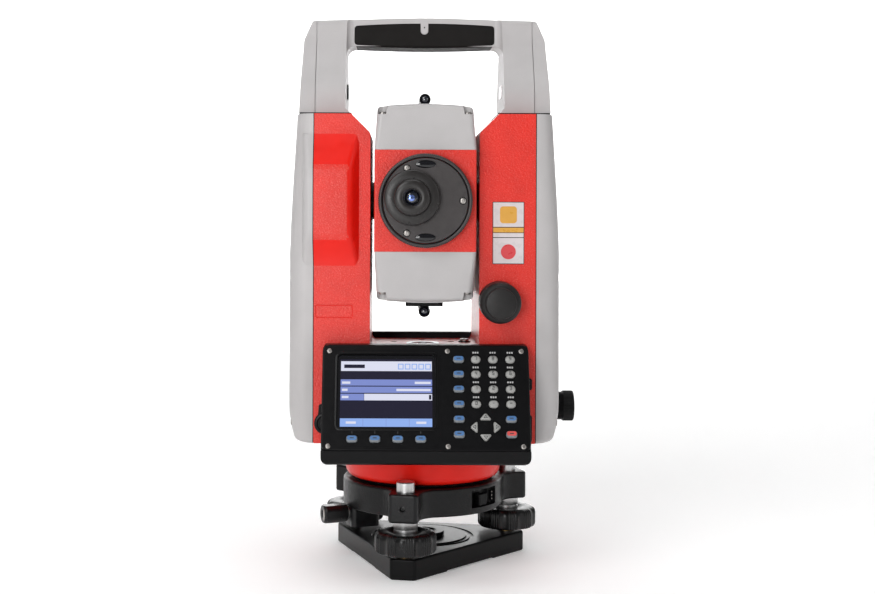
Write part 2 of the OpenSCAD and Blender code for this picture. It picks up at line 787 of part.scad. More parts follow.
base_plate();
foot_screw(screw_turns[0]);  // foot_screw_front
foot_screw(screw_turns[1]);  // foot_screw_right
foot_screw(screw_turns[2]);  // foot_screw_left
tribrach_head();
lock_knob();
base_flange();
horizontal_circle();
vertical_axle();
base_bowl();
yoke_frame();
left_side_cover();
right_side_cover();
handle();
handle_grip();
battery_pack();
circular_level();
vertical_drive_knob();
horizontal_drive_knob();
display_housing();
display_bezel();
display_window();
rear_display();
telescope_body();
telescope_top_cover();
telescope_bottom_cover();
focus_ring();
eyepiece();
objective_lens();
trunnion_axle();
vertical_circle();
sights();
for (k = KEYS) key(k);
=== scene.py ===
"""Looks of a surveying total station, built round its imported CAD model."""

import json
import math
import random

import bmesh
import bpy
from mathutils import Matrix, Vector


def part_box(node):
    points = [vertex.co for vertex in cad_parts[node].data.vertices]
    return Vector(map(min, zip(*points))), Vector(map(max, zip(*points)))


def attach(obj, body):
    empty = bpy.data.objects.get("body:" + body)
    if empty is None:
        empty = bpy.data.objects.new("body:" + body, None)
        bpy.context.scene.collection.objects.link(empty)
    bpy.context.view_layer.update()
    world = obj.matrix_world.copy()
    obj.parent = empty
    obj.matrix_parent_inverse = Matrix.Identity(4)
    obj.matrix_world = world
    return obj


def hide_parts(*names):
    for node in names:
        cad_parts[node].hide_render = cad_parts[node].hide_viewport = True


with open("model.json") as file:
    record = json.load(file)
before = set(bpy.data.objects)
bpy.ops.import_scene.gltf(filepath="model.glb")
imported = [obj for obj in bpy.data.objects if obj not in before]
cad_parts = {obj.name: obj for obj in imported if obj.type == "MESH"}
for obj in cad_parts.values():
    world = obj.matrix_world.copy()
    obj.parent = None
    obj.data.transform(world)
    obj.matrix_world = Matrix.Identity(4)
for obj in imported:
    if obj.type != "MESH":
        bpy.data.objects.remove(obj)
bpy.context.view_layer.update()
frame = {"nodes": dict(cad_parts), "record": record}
SCENE = bpy.context.scene
MM = 0.001
random.seed(7)


# ---- places, all in millimetres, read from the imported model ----

class Span:
    """A CAD node's box in millimetres."""

    def __init__(self, node):
        low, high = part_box(node)
        self.x0, self.y0, self.z0 = (c / MM for c in low)
        self.x1, self.y1, self.z1 = (c / MM for c in high)
        self.mid = ((self.x0 + self.x1) / 2, (self.y0 + self.y1) / 2, (self.z0 + self.z1) / 2)


FRAME = Span("yoke_frame")
COVER = Span("right_side_cover")
HANDLE = Span("handle")
GRIP = Span("handle_grip")
SCOPE = Span("telescope_body")
SCOPE_TOP = Span("telescope_top_cover")
SCOPE_LOW = Span("telescope_bottom_cover")
FOCUS = Span("focus_ring")
OCULAR = Span("eyepiece")
SIGHTS = Span("sights")
DRIVE = Span("vertical_drive_knob")
SIDE_DRIVE = Span("horizontal_drive_knob")
BEZEL = Span("display_bezel")
HOUSING = Span("display_housing")
BOWL = Span("base_bowl")
HEAD = Span("tribrach_head")
PLATE = Span("base_plate")
BATTERY = Span("battery_pack")
LEVEL = Span("circular_level")

UP, RIGHTWARDS, TO_FRONT, TO_BACK = (0, 0, 1), (1, 0, 0), (0, -1, 0), (0, 1, 0)
FACE_LEAN = math.radians(20.8)
BEZEL_T = 3
FACE_L = (BEZEL.z1 - BEZEL.z0 - BEZEL_T * math.sin(FACE_LEAN)) / math.cos(FACE_LEAN)
FACE_ORIGIN = Vector((0, BEZEL.y0, BEZEL.z1 - FACE_L * math.cos(FACE_LEAN)))
WINDOW = (-23.1, 36.2, 59, 45.2)     # middle x, middle up the face, width, height
FRONT = -50                          # front of the standards
GAP = 33.5                           # half the clear width between the standards
LEAD = 11.9                          # how far the top of a standard slopes back
TRUNNION = SCOPE.mid[2]
PLATFORM = LEVEL.z0 + 7
HEAD_LOW = 34.5                      # underside of the tribrach head
SCREW_CIRCLE = 59
TURN = -11                           # how far the tribrach is turned under the instrument
SCREW_TURNS = {"front": TURN - 90, "right": TURN + 30, "left": TURN + 150}
LOCK_TURN = -160.5
POCKET_TURN = -40.5


# ---- materials ----

def new_material(name):
    mat = bpy.data.materials.new(name)
    mat.use_nodes = True
    return mat, mat.node_tree.nodes, mat.node_tree.links


def noise_node(nodes, links, coords, scale, detail=2.0):
    node = nodes.new("ShaderNodeTexNoise")
    node.inputs["Scale"].default_value = scale
    node.inputs["Detail"].default_value = detail
    links.new(coords.outputs["Object"], node.inputs["Vector"])
    return node


def ramp_node(nodes, links, source, stops):
    ramp = nodes.new("ShaderNodeValToRGB")
    for element, (place_on, value) in zip(ramp.color_ramp.elements, stops):
        element.position = place_on
        element.color = (*value, 1) if isinstance(value, tuple) else (value, value, value, 1)
    links.new(source, ramp.inputs["Fac"])
    return ramp


def bump_node(nodes, links, height, depth_mm, below=None):
    bump = nodes.new("ShaderNodeBump")
    bump.invert = depth_mm < 0
    bump.inputs["Strength"].default_value = 1.0
    bump.inputs["Distance"].default_value = abs(depth_mm) * MM
    links.new(height, bump.inputs["Height"])
    if below:
        links.new(below, bump.inputs["Normal"])
    return bump.outputs["Normal"]


def wave_node(nodes, links, coords, direction, scale):
    wave = nodes.new("ShaderNodeTexWave")
    wave.bands_direction = direction
    wave.inputs["Scale"].default_value = scale
    links.new(coords.outputs["Object"], wave.inputs["Vector"])
    return wave


def surface(name, color, rough=0.4, metal=0.0, grain=(), pits=None, tone=0.12, tone_scale=60,
            coat=0.0, coat_rough=0.1, spec=0.5, rough_vary=0.08, painted_glints=None):
    """Painted, moulded or bare metal surface. grain is (scale per metre, depth in mm) pairs."""
    mat, nodes, links = new_material(name)
    shader = nodes["Principled BSDF"]
    coords = nodes.new("ShaderNodeTexCoord")
    drift = noise_node(nodes, links, coords, tone_scale, 3)
    dark = tuple(c * (1 - tone) for c in color)
    light = tuple(min(1, c * (1 + tone)) for c in color)
    base = ramp_node(nodes, links, drift.outputs["Fac"], [(0.3, dark), (0.7, light)]).outputs["Color"]
    # pale specks mixed into the base colour: a painted highlight, the glints of the paint's sheen
    if painted_glints:
        scale, strength, tint = painted_glints
        glint_noise = noise_node(nodes, links, coords, scale, 1)
        mask = ramp_node(nodes, links, glint_noise.outputs["Fac"], [(0.56, 0.0), (0.7, strength)])
        mix = nodes.new("ShaderNodeMix")
        mix.data_type = "RGBA"
        links.new(mask.outputs["Color"], mix.inputs["Factor"])
        links.new(base, mix.inputs["A"])
        mix.inputs["B"].default_value = (*tint, 1)
        base = mix.outputs["Result"]
    links.new(base, shader.inputs["Base Color"])
    gloss = ramp_node(nodes, links, noise_node(nodes, links, coords, tone_scale * 4, 4).outputs["Fac"],
                      [(0.3, max(0.02, rough - rough_vary)), (0.7, min(1, rough + rough_vary))])
    links.new(gloss.outputs["Color"], shader.inputs["Roughness"])
    for key, value in (("Metallic", metal), ("Coat Weight", coat), ("Coat Roughness", coat_rough),
                       ("Specular IOR Level", spec)):
        shader.inputs[key].default_value = value
    normal = None
    for scale, depth in grain:
        normal = bump_node(nodes, links, noise_node(nodes, links, coords, scale).outputs["Fac"], depth, normal)
    if pits:
        cells = nodes.new("ShaderNodeTexVoronoi")
        cells.feature = "SMOOTH_F1"
        cells.inputs["Scale"].default_value = pits[0]
        links.new(coords.outputs["Object"], cells.inputs["Vector"])
        normal = bump_node(nodes, links, cells.outputs["Distance"], -pits[1], normal)
    if normal:
        links.new(normal, shader.inputs["Normal"])
    return mat


def turned_metal(name, color, rough):
    """Bare metal with the fine rings that a lathe leaves."""
    mat = surface(name, color, rough=rough, rough_vary=0.02, metal=1.0, tone=0.03, grain=((3000, 0.003),))
    nodes, links = mat.node_tree.nodes, mat.node_tree.links
    coords = next(n for n in nodes if n.type == "TEX_COORD")
    wave = wave_node(nodes, links, coords, "Z", 130)
    wave.inputs["Distortion"].default_value = 1.5
    links.new(bump_node(nodes, links, wave.outputs["Fac"], 0.004), nodes["Principled BSDF"].inputs["Normal"])
    return mat


def lit(name, color, power):
    """A patch of a lit screen behind its cover glass, with the fine lines of its pixels."""
    mat, nodes, links = new_material(name)
    shader = nodes["Principled BSDF"]
    wave = wave_node(nodes, links, nodes.new("ShaderNodeTexCoord"), "X", 1050)
    dim = tuple(c * 0.9 for c in color)
    shade = ramp_node(nodes, links, wave.outputs["Fac"], [(0.1, dim), (0.5, color)])
    links.new(shade.outputs["Color"], shader.inputs["Emission Color"])
    for key, value in (("Emission Strength", power), ("Base Color", (0.01, 0.01, 0.015, 1)), ("Roughness", 0.06),
                       ("Specular IOR Level", 0.15)):
        shader.inputs[key].default_value = value
    mat.cycles.emission_sampling = "NONE"
    return mat


def key_plastic(name, color, rough=0.42, tone=0.05):
    return surface(name, color, rough=rough, grain=((3000, 0.02),), tone=tone)


def foil(name, color, rough=0.32, tone=0.06):
    return surface(name, color, rough=rough, tone=tone, grain=((1500, 0.01),), coat=0.3)


def print_ink(name, color):
    return surface(name, color, rough=0.5, tone=0.2, tone_scale=2000)


# the red paint carries painted highlight glints: pale pink specks in its colour
RED = surface("red_leather_paint", (0.67, 0.02, 0.01), rough=0.42, tone=0.06, pits=(950, 0.26), grain=((2300, 0.07),),
              coat=0.35, coat_rough=0.28, painted_glints=(1500, 0.3, (0.9, 0.2, 0.16)), spec=0.28)
RED_SMOOTH = surface("red_smooth_paint", (0.73, 0.011, 0.005), rough=0.36, tone=0.04, grain=((1800, 0.012),), spec=0.25)
GREY = surface("grey_moulding", (0.447, 0.431, 0.431), rough=0.46, tone=0.03, grain=((2600, 0.05), (900, 0.04)),
               coat=0.1, coat_rough=0.35)
BLACK_PLASTIC = surface("black_moulding", (0.0025, 0.0025, 0.003), rough=0.32, rough_vary=0.03,
                        grain=((2600, 0.012), (1100, 0.006)), spec=0.16)
BLACK_CAST = surface("black_cast_paint", (0.0035, 0.0035, 0.004), rough=0.36, tone=0.2, pits=(900, 0.08),
                     grain=((1700, 0.04),), spec=0.28)
BLACK_PLATE = surface("black_smooth_paint", (0.0035, 0.0035, 0.0038), rough=0.3, rough_vary=0.01, tone=0.1, spec=0.12)
BLACK_KNOB = surface("black_knob", (0.004, 0.004, 0.0043), rough=0.28, rough_vary=0.01, tone=0.1, spec=0.35)
KNOB_MATTE = surface("black_rubber_knob", (0.012, 0.011, 0.011), rough=0.5, grain=((2800, 0.01),), spec=0.3)
GUNMETAL = surface("black_anodised", (0.042, 0.037, 0.037), rough=0.36, metal=0.2, tone=0.08,
                   grain=((2600, 0.03), (500, 0.02)), spec=0.4)
OCULAR_BLACK = surface("ocular_black", (0.016, 0.014, 0.0135), rough=0.34, tone=0.08, grain=((2600, 0.01),), spec=0.4)
GRIP_RUBBER = surface("grip_rubber", (0.009, 0.008, 0.0075), rough=0.6, grain=((3200, 0.03), (1300, 0.02)), spec=0.12)
STEEL = turned_metal("turned_steel", (0.56, 0.56, 0.56), 0.34)
SCREW_STEEL = surface("screw_steel", (0.34, 0.32, 0.305), rough=0.34, metal=1.0, tone=0.15, tone_scale=900,
                      grain=((2500, 0.03),))
BRASS = turned_metal("turned_brass", (0.42, 0.28, 0.11), 0.32)
LENS = surface("coated_lens", (0.004, 0.006, 0.014), rough=0.02, rough_vary=0.01, tone=0.3, coat=1.0,
               coat_rough=0.01, spec=0.8)
# bluish metallic patch: a painted reflection on the eyepiece lens
PAINTED_LENS_REFLECTION = surface("painted_blue_lens_reflection", (0.16, 0.26, 0.75), rough=0.05, metal=0.8, tone=0.5, tone_scale=500,
                    coat=1.0, coat_rough=0.01)
SCREEN_BORDER = surface("screen_border", (0.004, 0.004, 0.006), rough=0.08, rough_vary=0.02, coat=0.3,
                        coat_rough=0.02, spec=0.4)
SCREEN_WHITE = lit("screen_white", (0.80, 0.82, 0.97), 0.92)
SCREEN_DARK = lit("screen_dark", (0.010, 0.009, 0.022), 1.0)
SCREEN_BLUE = lit("screen_blue", (0.22, 0.28, 0.64), 0.97)
SCREEN_LIGHT = lit("screen_light_blue", (0.3, 0.47, 0.92), 0.95)
KEY_SKIRT = key_plastic("key_skirt", (0.17, 0.185, 0.20), rough=0.45)
KEY_GREY = key_plastic("key_grey", (0.30, 0.30, 0.29))
KEY_BLUE = key_plastic("key_blue", (0.055, 0.15, 0.34), tone=0.08)
KEY_RED = key_plastic("key_red", (0.62, 0.07, 0.065), tone=0.08)
INK = print_ink("key_ink", (0.03, 0.03, 0.033))
PALE_INK = print_ink("pale_ink", (0.42, 0.42, 0.42))
LABEL = foil("label_foil", (0.62, 0.57, 0.58), rough=0.3, tone=0.05)
AMBER = foil("label_amber", (0.66, 0.34, 0.05))
LABEL_RED = foil("label_red", (0.62, 0.05, 0.06))
LEVEL_GLASS = surface("level_fluid", (0.3, 0.42, 0.1), rough=0.04, rough_vary=0.01, tone=0.1, coat=1.0, coat_rough=0.01)
FLOOR = surface("pale_floor", (0.95, 0.95, 0.95), rough=0.8, tone=0.005, tone_scale=3, grain=((60, 0.02),), spec=0.1)
FLOOR.node_tree.nodes["Principled BSDF"].inputs["Emission Color"].default_value = (1, 1, 1, 1)
FLOOR.node_tree.nodes["Principled BSDF"].inputs["Emission Strength"].default_value = 0.2
FLOOR.cycles.emission_sampling = "NONE"


# ---- mesh helpers ----

def to_object(bm, materials=(), name="tool"):
    """Makes an object of a mesh in millimetres. materials is one material or a list."""
    bmesh.ops.recalc_face_normals(bm, faces=bm.faces)
    mesh = bpy.data.meshes.new(name)
    bm.to_mesh(mesh)
    bm.free()
    mesh.transform(Matrix.Scale(MM, 4))
    obj = bpy.data.objects.new(name, mesh)
    SCENE.collection.objects.link(obj)
    for mat in materials if isinstance(materials, (list, tuple)) else [materials]:
        mesh.materials.append(mat)
    return obj


def polar(turn, r=1.0):
    t = math.radians(turn)
    return Vector((r * math.cos(t), r * math.sin(t), 0))


def rect(x0, y0, x1, y1, r=0.0):
    """Outline of a rectangle with its corners rounded to r."""
    return [(x0, y0, r), (x1, y0, r), (x1, y1, r), (x0, y1, r)]


def centred(w, h, r):
    return rect(-w / 2, -h / 2, w / 2, h / 2, r)


def arc_points(outline, steps=8):
    """Rounds each corner [a, b, radius] of an outline."""
    points = []
    count = len(outline)
    for i, (a, b, r) in enumerate(outline):
        here = Vector((a, b))
        before = (Vector(outline[i - 1][:2]) - here).normalized()
        after = (Vector(outline[(i + 1) % count][:2]) - here).normalized()
        if r <= 0:
            points.append(here)
            continue
        half = math.acos(max(-1, min(1, before.dot(after)))) / 2
        centre = here + (before + after).normalized() * r / math.sin(half)
        start = here + before * r / math.tan(half) - centre
        end = here + after * r / math.tan(half) - centre
        first = math.atan2(start.y, start.x)
        sweep = (math.atan2(end.y, end.x) - first + math.pi) % math.tau - math.pi
        for k in range(steps + 1):
            t = first + sweep * k / steps
            points.append(centre + r * Vector((math.cos(t), math.sin(t))))
    return points


def stack(bm, rings, caps=True):
    """Joins loops of equal length into a skin. A loop of one point closes to a tip."""
    rows = [[bm.verts.new(p) for p in ring] for ring in rings]
    for low, high in zip(rows, rows[1:]):
        n = max(len(low), len(high))
        for i in range(n):
            j = (i + 1) % n
            corners = [low[i % len(low)], low[j % len(low)], high[j % len(high)], high[i % len(high)]]
            unique = [c for k, c in enumerate(corners) if c not in corners[:k]]
            if len(unique) > 2:
                bm.faces.new(unique)
    for end in (rows[0][::-1], rows[-1]) if caps else ():
        if len(end) > 2:
            bm.faces.new(end)


def skin(rings, materials=(), name="tool", caps=True):
    bm = bmesh.new()
    stack(bm, rings, caps)
    return to_object(bm, materials, name)


AXES = {
    "x": lambda a, b, along: (along, a, b),
    "y": lambda a, b, along: (a, along, b),
    "z": lambda a, b, along: (a, b, along),
}


def prism(outline, low, high, axis="z", materials=(), name="tool", steps=8):
    points = arc_points(outline, steps)
    return skin([[AXES[axis](p.x, p.y, along) for p in points] for along in (low, high)], materials, name)


def inset(points, depth):
    """Draws a counterclockwise loop in by depth."""
    moved = []
    for i, p in enumerate(points):
        before = (p - points[i - 1]).normalized()
        after = (points[(i + 1) % len(points)] - p).normalized()
        n1, n2 = Vector((-before.y, before.x)), Vector((-after.y, after.x))
        moved.append(p + (n1 + n2) * depth / (1 + n1.dot(n2)))
    return moved


def rounded_prism(points, low, high, r, materials, name, steps=5):
    """Upright prism with its top and bottom edges rounded to r."""
    sweep = [math.pi / 2 * k / steps for k in range(steps + 1)]
    half = [(r * (1 - math.sin(t)), r * (1 - math.cos(t))) for t in sweep]
    levels = [(d, low + h) for d, h in half] + [(d, high - h) for d, h in half[::-1]]
    return skin([[(p.x, p.y, z) for p in inset(points, d)] for d, z in levels], materials, name)


def lathe(profile, centre=(0, 0, 0), direction=UP, materials=(), name="tool", steps=96, wobble=None):
    """Turned solid. The profile is (radius, distance along the direction) points."""
    turn = Vector(UP).rotation_difference(Vector(direction)).to_matrix()
    rings = []
    for r, along in profile:
        ring = []
        for k in range(1 if r == 0 else steps):
            t = math.tau * k / steps
            rr = r + (wobble(r, along, t) if wobble else 0)
            ring.append(Vector(centre) + turn @ Vector((rr * math.cos(t), rr * math.sin(t), along)))
        rings.append(ring)
    return skin(rings, materials, name)


def close_ring(obj):
    """Closes a turned skin whose profile starts and ends off the axis."""
    bm = bmesh.new()
    bm.from_mesh(obj.data)
    caps = [f for f in bm.faces if len(f.verts) > 12]
    if len(caps) == 2:
        bmesh.ops.delete(bm, geom=caps, context="FACES_ONLY")
        bmesh.ops.bridge_loops(bm, edges=[e for e in bm.edges if e.is_boundary])
    bmesh.ops.recalc_face_normals(bm, faces=bm.faces)
    bm.to_mesh(obj.data)
    bm.free()
    return obj


def cylinder(centre, direction, r, length, steps=64, start=0.0):
    return lathe([(0, start), (r, start), (r, start + length), (0, start + length)], centre, direction, steps=steps)


def block(low, high, materials=(), name="tool"):
    (x0, y0, z0), (x1, y1, z1) = low, high
    return prism(rect(x0, y0, x1, y1), z0, z1, "z", materials, name)


def combine(obj, others, how="DIFFERENCE", material=None):
    """Cuts, joins or intersects an object with others, which are used up; new faces take the material."""
    for other in others:
        if material:
            other.data.materials.append(material)
        mod = obj.modifiers.new("cut", "BOOLEAN")
        mod.operation = how
        mod.solver = "EXACT"
        mod.object = other
        bpy.context.view_layer.update()
        old = obj.data
        obj.data = bpy.data.meshes.new_from_object(obj.evaluated_get(bpy.context.evaluated_depsgraph_get()))
        obj.modifiers.clear()
        bpy.data.meshes.remove(old)
        bpy.data.objects.remove(other)
    return obj


def cut(obj, *tools, material=None):
    return combine(obj, tools, material=material)


def join(obj, *others, material=None):
    return combine(obj, others, "UNION", material)


def keep_within(obj, room):
    return combine(obj, [room], "INTERSECT")


def soften(obj, width=0.6, segments=3, angle=28, keep=None):
    """Rounds the sharp edges. keep(midpoint in mm) says which ones to leave alone."""
    bm = bmesh.new()
    bm.from_mesh(obj.data)
    bmesh.ops.remove_doubles(bm, verts=bm.verts, dist=0.00001)
    bmesh.ops.dissolve_limit(bm, angle_limit=math.radians(0.5), verts=bm.verts, edges=bm.edges)
    edges = []
    for e in bm.edges:
        if len(e.link_faces) == 2 and e.calc_face_angle() > math.radians(angle):
            middle = (e.verts[0].co + e.verts[1].co) / 2 / MM
            if not keep or not keep(middle):
                edges.append(e)
    bmesh.ops.bevel(bm, geom=edges, offset=width * MM, segments=segments, profile=0.5,
                    affect="EDGES", clamp_overlap=True)
    bm.to_mesh(obj.data)
    bm.free()
    return obj


def merge(name, objects):
    """Joins separate shells into one piece."""
    bm = bmesh.new()
    mats = []
    for obj in objects:
        index = []
        for mat in obj.data.materials:
            if mat not in mats:
                mats.append(mat)
            index.append(mats.index(mat))
        first = len(bm.faces)
        bm.from_mesh(obj.data)
        bm.faces.ensure_lookup_table()
        for f in bm.faces[first:]:
            f.material_index = index[f.material_index]
        bpy.data.objects.remove(obj)
    mesh = bpy.data.meshes.new(name)
    bm.to_mesh(mesh)
    bm.free()
    for mat in mats:
        mesh.materials.append(mat)
    merged = bpy.data.objects.new(name, mesh)
    SCENE.collection.objects.link(merged)
    return merged


def turned(obj, degrees):
    """Turns the mesh about the vertical axis."""
    obj.data.transform(Matrix.Rotation(math.radians(degrees), 4, "Z"))
    return obj


def paint(obj, index, test):
    """Gives the faces that pass the test (centre in mm, normal) another of the object's materials."""
    for f in obj.data.polygons:
        if test(f.center / MM, f.normal):
            f.material_index = index


def place(obj, body, slot, *replaced, angle=32, weighted=True):
    """Finishes a piece: its shading, the body it rides on and the nodes it stands for. Its slot argument is not used.
    """
    obj.data.shade_smooth()
    obj.data.set_sharp_from_angle(angle=math.radians(angle))
    if weighted:
        obj.modifiers.new("shading", "WEIGHTED_NORMAL").keep_sharp = True
    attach(obj, body)
    if replaced:
        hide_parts(*replaced)
    return obj


def turned_piece(name, body, slot, material, profile, centre=(0, 0, 0), direction=UP, node=(), steps=96, angle=32,
                 wobble=None):
    """Places a turned piece, closed into a ring where its profile stays off the axis."""
    obj = lathe(profile, centre, direction, material, name, steps, wobble)
    if profile[0][0] and profile[-1][0]:
        close_ring(obj)
    return place(obj, body, slot, *([node] if node else []), angle=angle, weighted=False)


def cross_screw(name, centre, direction, r, body, ring=True, height=0.5):
    """Recessed-head screw with a cross slot, seated in a dark ring."""
    centre, out = Vector(centre), Vector(direction).normalized()
    head = lathe([(0, -0.8), (r, -0.8), (r, height * 0.45), (r * 0.86, height * 0.85), (r * 0.5, height), (0, height)],
                 centre, direction, SCREW_STEEL, name, 32)
    side = out.orthogonal().normalized()
    other = out.cross(side)
    spin = random.random() * 0.4 + 0.4
    a = side * math.cos(spin) + other * math.sin(spin)
    b = other * math.cos(spin) - side * math.sin(spin)
    for along, across in ((a, b), (b, a)):
        bar = rect(-0.62 * r, -0.12 * r, 0.62 * r, 0.12 * r)
        cut(head, skin([[centre + out * h + along * u + across * v for u, v, _ in bar] for h in
                        (height * 0.35, height + 1)]))
    place(head, body, "bearing_steel", angle=40, weighted=False)
    if ring:
        rim = lathe([(r * 0.98, -0.8), (r * 1.3, -0.8), (r * 1.3, 0.06), (r * 1.2, 0.12), (r * 1.02, 0.02),
                     (r * 0.98, -0.3)], centre, direction, BLACK_PLASTIC, name + "_seat", 32)
        place(rim, body, "black_plastic", weighted=False)


# ---- camera, light and floor ----

def set_view():
    camera = bpy.data.objects.new("camera", bpy.data.cameras.new("camera"))
    SCENE.collection.objects.link(camera)
    camera.data.sensor_width = 36
    camera.data.lens = 61.7
    camera.data.clip_start = 0.05
    camera.data.shift_x, camera.data.shift_y = 0.0466, -0.1063
    camera.location = (-0.0173, -0.970, 0.227)
    camera.rotation_euler = (math.pi / 2, math.radians(-0.2), 0)
    SCENE.camera = camera
    SCENE.view_settings.view_transform = "Standard"
    SCENE.view_settings.look = "None"


def area_light(name, place_m, size, power, target=(0, 0, 0.18)):
    light = bpy.data.lights.new(name, "AREA")
    light.shape = "RECTANGLE"
    light.size, light.size_y = size
    light.energy = power
    obj = bpy.data.objects.new(name, light)
    obj.location = place_m
    obj.rotation_mode = "QUATERNION"
    obj.rotation_quaternion = (Vector(target) - Vector(place_m)).to_track_quat("-Z", "Y")
    SCENE.collection.objects.link(obj)


def set_light():
    world = bpy.data.worlds.new("studio")
    SCENE.world = world
    world.use_nodes = True
    world.node_tree.nodes["Background"].inputs["Color"].default_value = (1, 1, 1, 1)
    world.node_tree.nodes["Background"].inputs["Strength"].default_value = 0.2
    area_light("key", (-0.9, -1.3, 1.25), (1.0, 0.8), 13)
    area_light("glare", (-0.42, -1.35, 0.28), (0.45, 0.45), 5.5)
    area_light("fill", (1.4, -1.1, 0.7), (0.8, 0.8), 3.5)
    area_light("top", (0, 0.1, 1.7), (1.4, 1.4), 10)
    for s in (-1, 1):
        area_light("backdrop", (s * 1.6, 2.0, 1.2), (1.6, 1.2), 75, (0, 4.0, 0.6))


def sweep_floor():
    """Pale floor that curves up into a backdrop."""
    half, near, far, bend, back_top, steps = 6000, -4000, 3200, 900, 5000, 16
    arc = [math.pi / 2 * k / steps for k in range(1, steps + 1)]
    path = [(near, 0), (far, 0)] + [(far + bend * math.sin(t), bend * (1 - math.cos(t))) for t in arc]
    path.append((far + bend, back_top))
    bm = bmesh.new()
    rows = [[bm.verts.new((x, y, z)) for x in (-half, half)] for y, z in path]
    for a, b in zip(rows, rows[1:]):
        bm.faces.new((a[0], a[1], b[1], b[0]))
    floor = to_object(bm, FLOOR, "floor")
    floor.data.shade_smooth()


# ---- tribrach ----

def base_plate():
    reach, corner, height, foot_top = 68, 7.5, PLATE.z0 + 13, 7
    bore_r, raised_r, hollow_r, hollow_z = 7.94, 28.5, 14, 16.5
    outline = []
    for turn in SCREW_TURNS.values():
        t = math.radians(turn)
        for s in (-1, 1):
            outline.append((reach * math.cos(t) - s * corner * math.sin(t),
                            reach * math.sin(t) + s * corner * math.cos(t), 3))
    plate = rounded_prism(arc_points(outline), 0, height, 1.3, BLACK_PLATE, "base_plate_body")
    cut(plate, *[turned(prism(rect(26, -24, 80, 24, 6), -2, 1), turn + 60) for turn in SCREW_TURNS.values()])
    join(plate, lathe([(0, height - 1), (raised_r, height - 1), (raised_r, height + 0.5),
                       (raised_r - 0.3, height + 0.8), (hollow_r, height + 0.8), (hollow_r, hollow_z - 0.3),
                       (hollow_r - 0.3, hollow_z), (0, hollow_z)]))
    groove = lathe([(30.5, height - 0.8), (33, height - 0.8), (33, height + 2), (30.5, height + 2)])
    bore = lathe([(0, -1), (bore_r, -1), (bore_r, 15.5), (9.1, 16.6), (9.1, 18), (0, 18)], steps=64)
    cut(plate, close_ring(groove), bore)
    for name, turn in SCREW_TURNS.items():
        centre = polar(turn, SCREW_CIRCLE)
        cut(plate, cylinder(centre, UP, 4.3, 20, start=foot_top))
        turned_piece("foot_seat_" + name, "base", "bearing_steel", BRASS, [
            (4.35, foot_top + 1), (5.7, foot_top + 1), (5.7, height + 0.25), (5.4, height + 0.5), (4.9, height + 0.5),
            (4.35, height)], centre, steps=48)
    soften(plate, 0.4, 2, angle=40)
    place(plate, "base", "black_casting", "base_plate")


def foot_screw(name, turn):
    centre, top = polar(turn, SCREW_CIRCLE), Span("foot_screw_" + name).z1 - 0.4
    low, high, r, plain_r, lobes, hollow = 15.5, 28.5, 19.0, 15, 10, 0.52

    def lobed(rr, along, t):
        """Each lobe is a smooth hollow over its first part and three and a half ridges over the rest."""
        if rr < plain_r:
            return 0
        phase = (t * lobes / math.tau) % 1
        if phase < hollow:
            depth = 0.9 * math.sin(math.pi * phase / hollow)
        else:
            depth = 0.45 * (0.5 - 0.5 * math.cos(math.tau * 3.5 * (phase - hollow) / (1 - hollow)))
        return -depth * min(1, (rr - plain_r) / 3)

    turned_piece("knob_" + name, "screw_" + name, "foot_screws", BLACK_KNOB, [
        (6.4, low + 1), (6.4, low), (16.4, low), (17.6, low + 0.3), (18.5, low + 1.0), (18.9, low + 2.2),
        (r, high - 4), (18.7, high - 2.3), (18.0, high - 1.2), (16.8, high - 0.5), (15.2, high - 0.2),
        (12, high - 0.1), (10.4, high - 0.4), (9.2, high - 1.2), (8.2, high - 1.6), (7.2, high - 1.8)],
        centre, node="foot_screw_" + name, steps=480, wobble=lobed, angle=50)
    turned_piece("spindle_" + name, "screw_" + name, "bearing_steel", STEEL, [
        (0, 7), (2.5, 7), (4, 8.5), (4, low + 0.2), (6.4, low + 0.2), (6.4, low + 0.6), (6.4, high - 2),
        (7.35, high - 1.9), (7.35, high + 0.6), (7.0, high + 0.7), (7.0, high + 1.3), (7.35, high + 1.4),
        (7.5, high + 1.7), (7.5, HEAD_LOW + 3.1), (7.2, HEAD_LOW + 3.4), (5.7, HEAD_LOW + 3.4), (5.7, top - 0.7),
        (5.3, top - 0.15), (4.6, top), (2.5, top + 0.3), (0, top + 0.4)], centre, steps=64, angle=35)


def head_outline(body_r, half, reach, neck):
    """Round head with three arms, each led into it by hollow curves."""
    y = half + neck
    x = math.sqrt((body_r + neck) ** 2 - y * y)
    phi = math.atan2(y, x)
    sweep = [math.pi + phi + (math.pi / 2 - phi) * k / 14 for k in range(14)]
    curve = [Vector((x + neck * math.cos(t), y + neck * math.sin(t))) for t in sweep]
    nose = arc_points([(x, -half, 0), (reach, -half, 3), (reach, half, 3), (x, half, 0)], 6)
    gap = math.tau / 3 - 2 * phi
    rim = [body_r * Vector((math.cos(t), math.sin(t))) for t in (phi + gap * k / 24 for k in range(1, 24))]
    third = [Vector((p.x, -p.y)) for p in curve] + nose + curve[::-1] + rim
    return [Matrix.Rotation(math.radians(turn), 2) @ p for turn in SCREW_TURNS.values() for p in third]


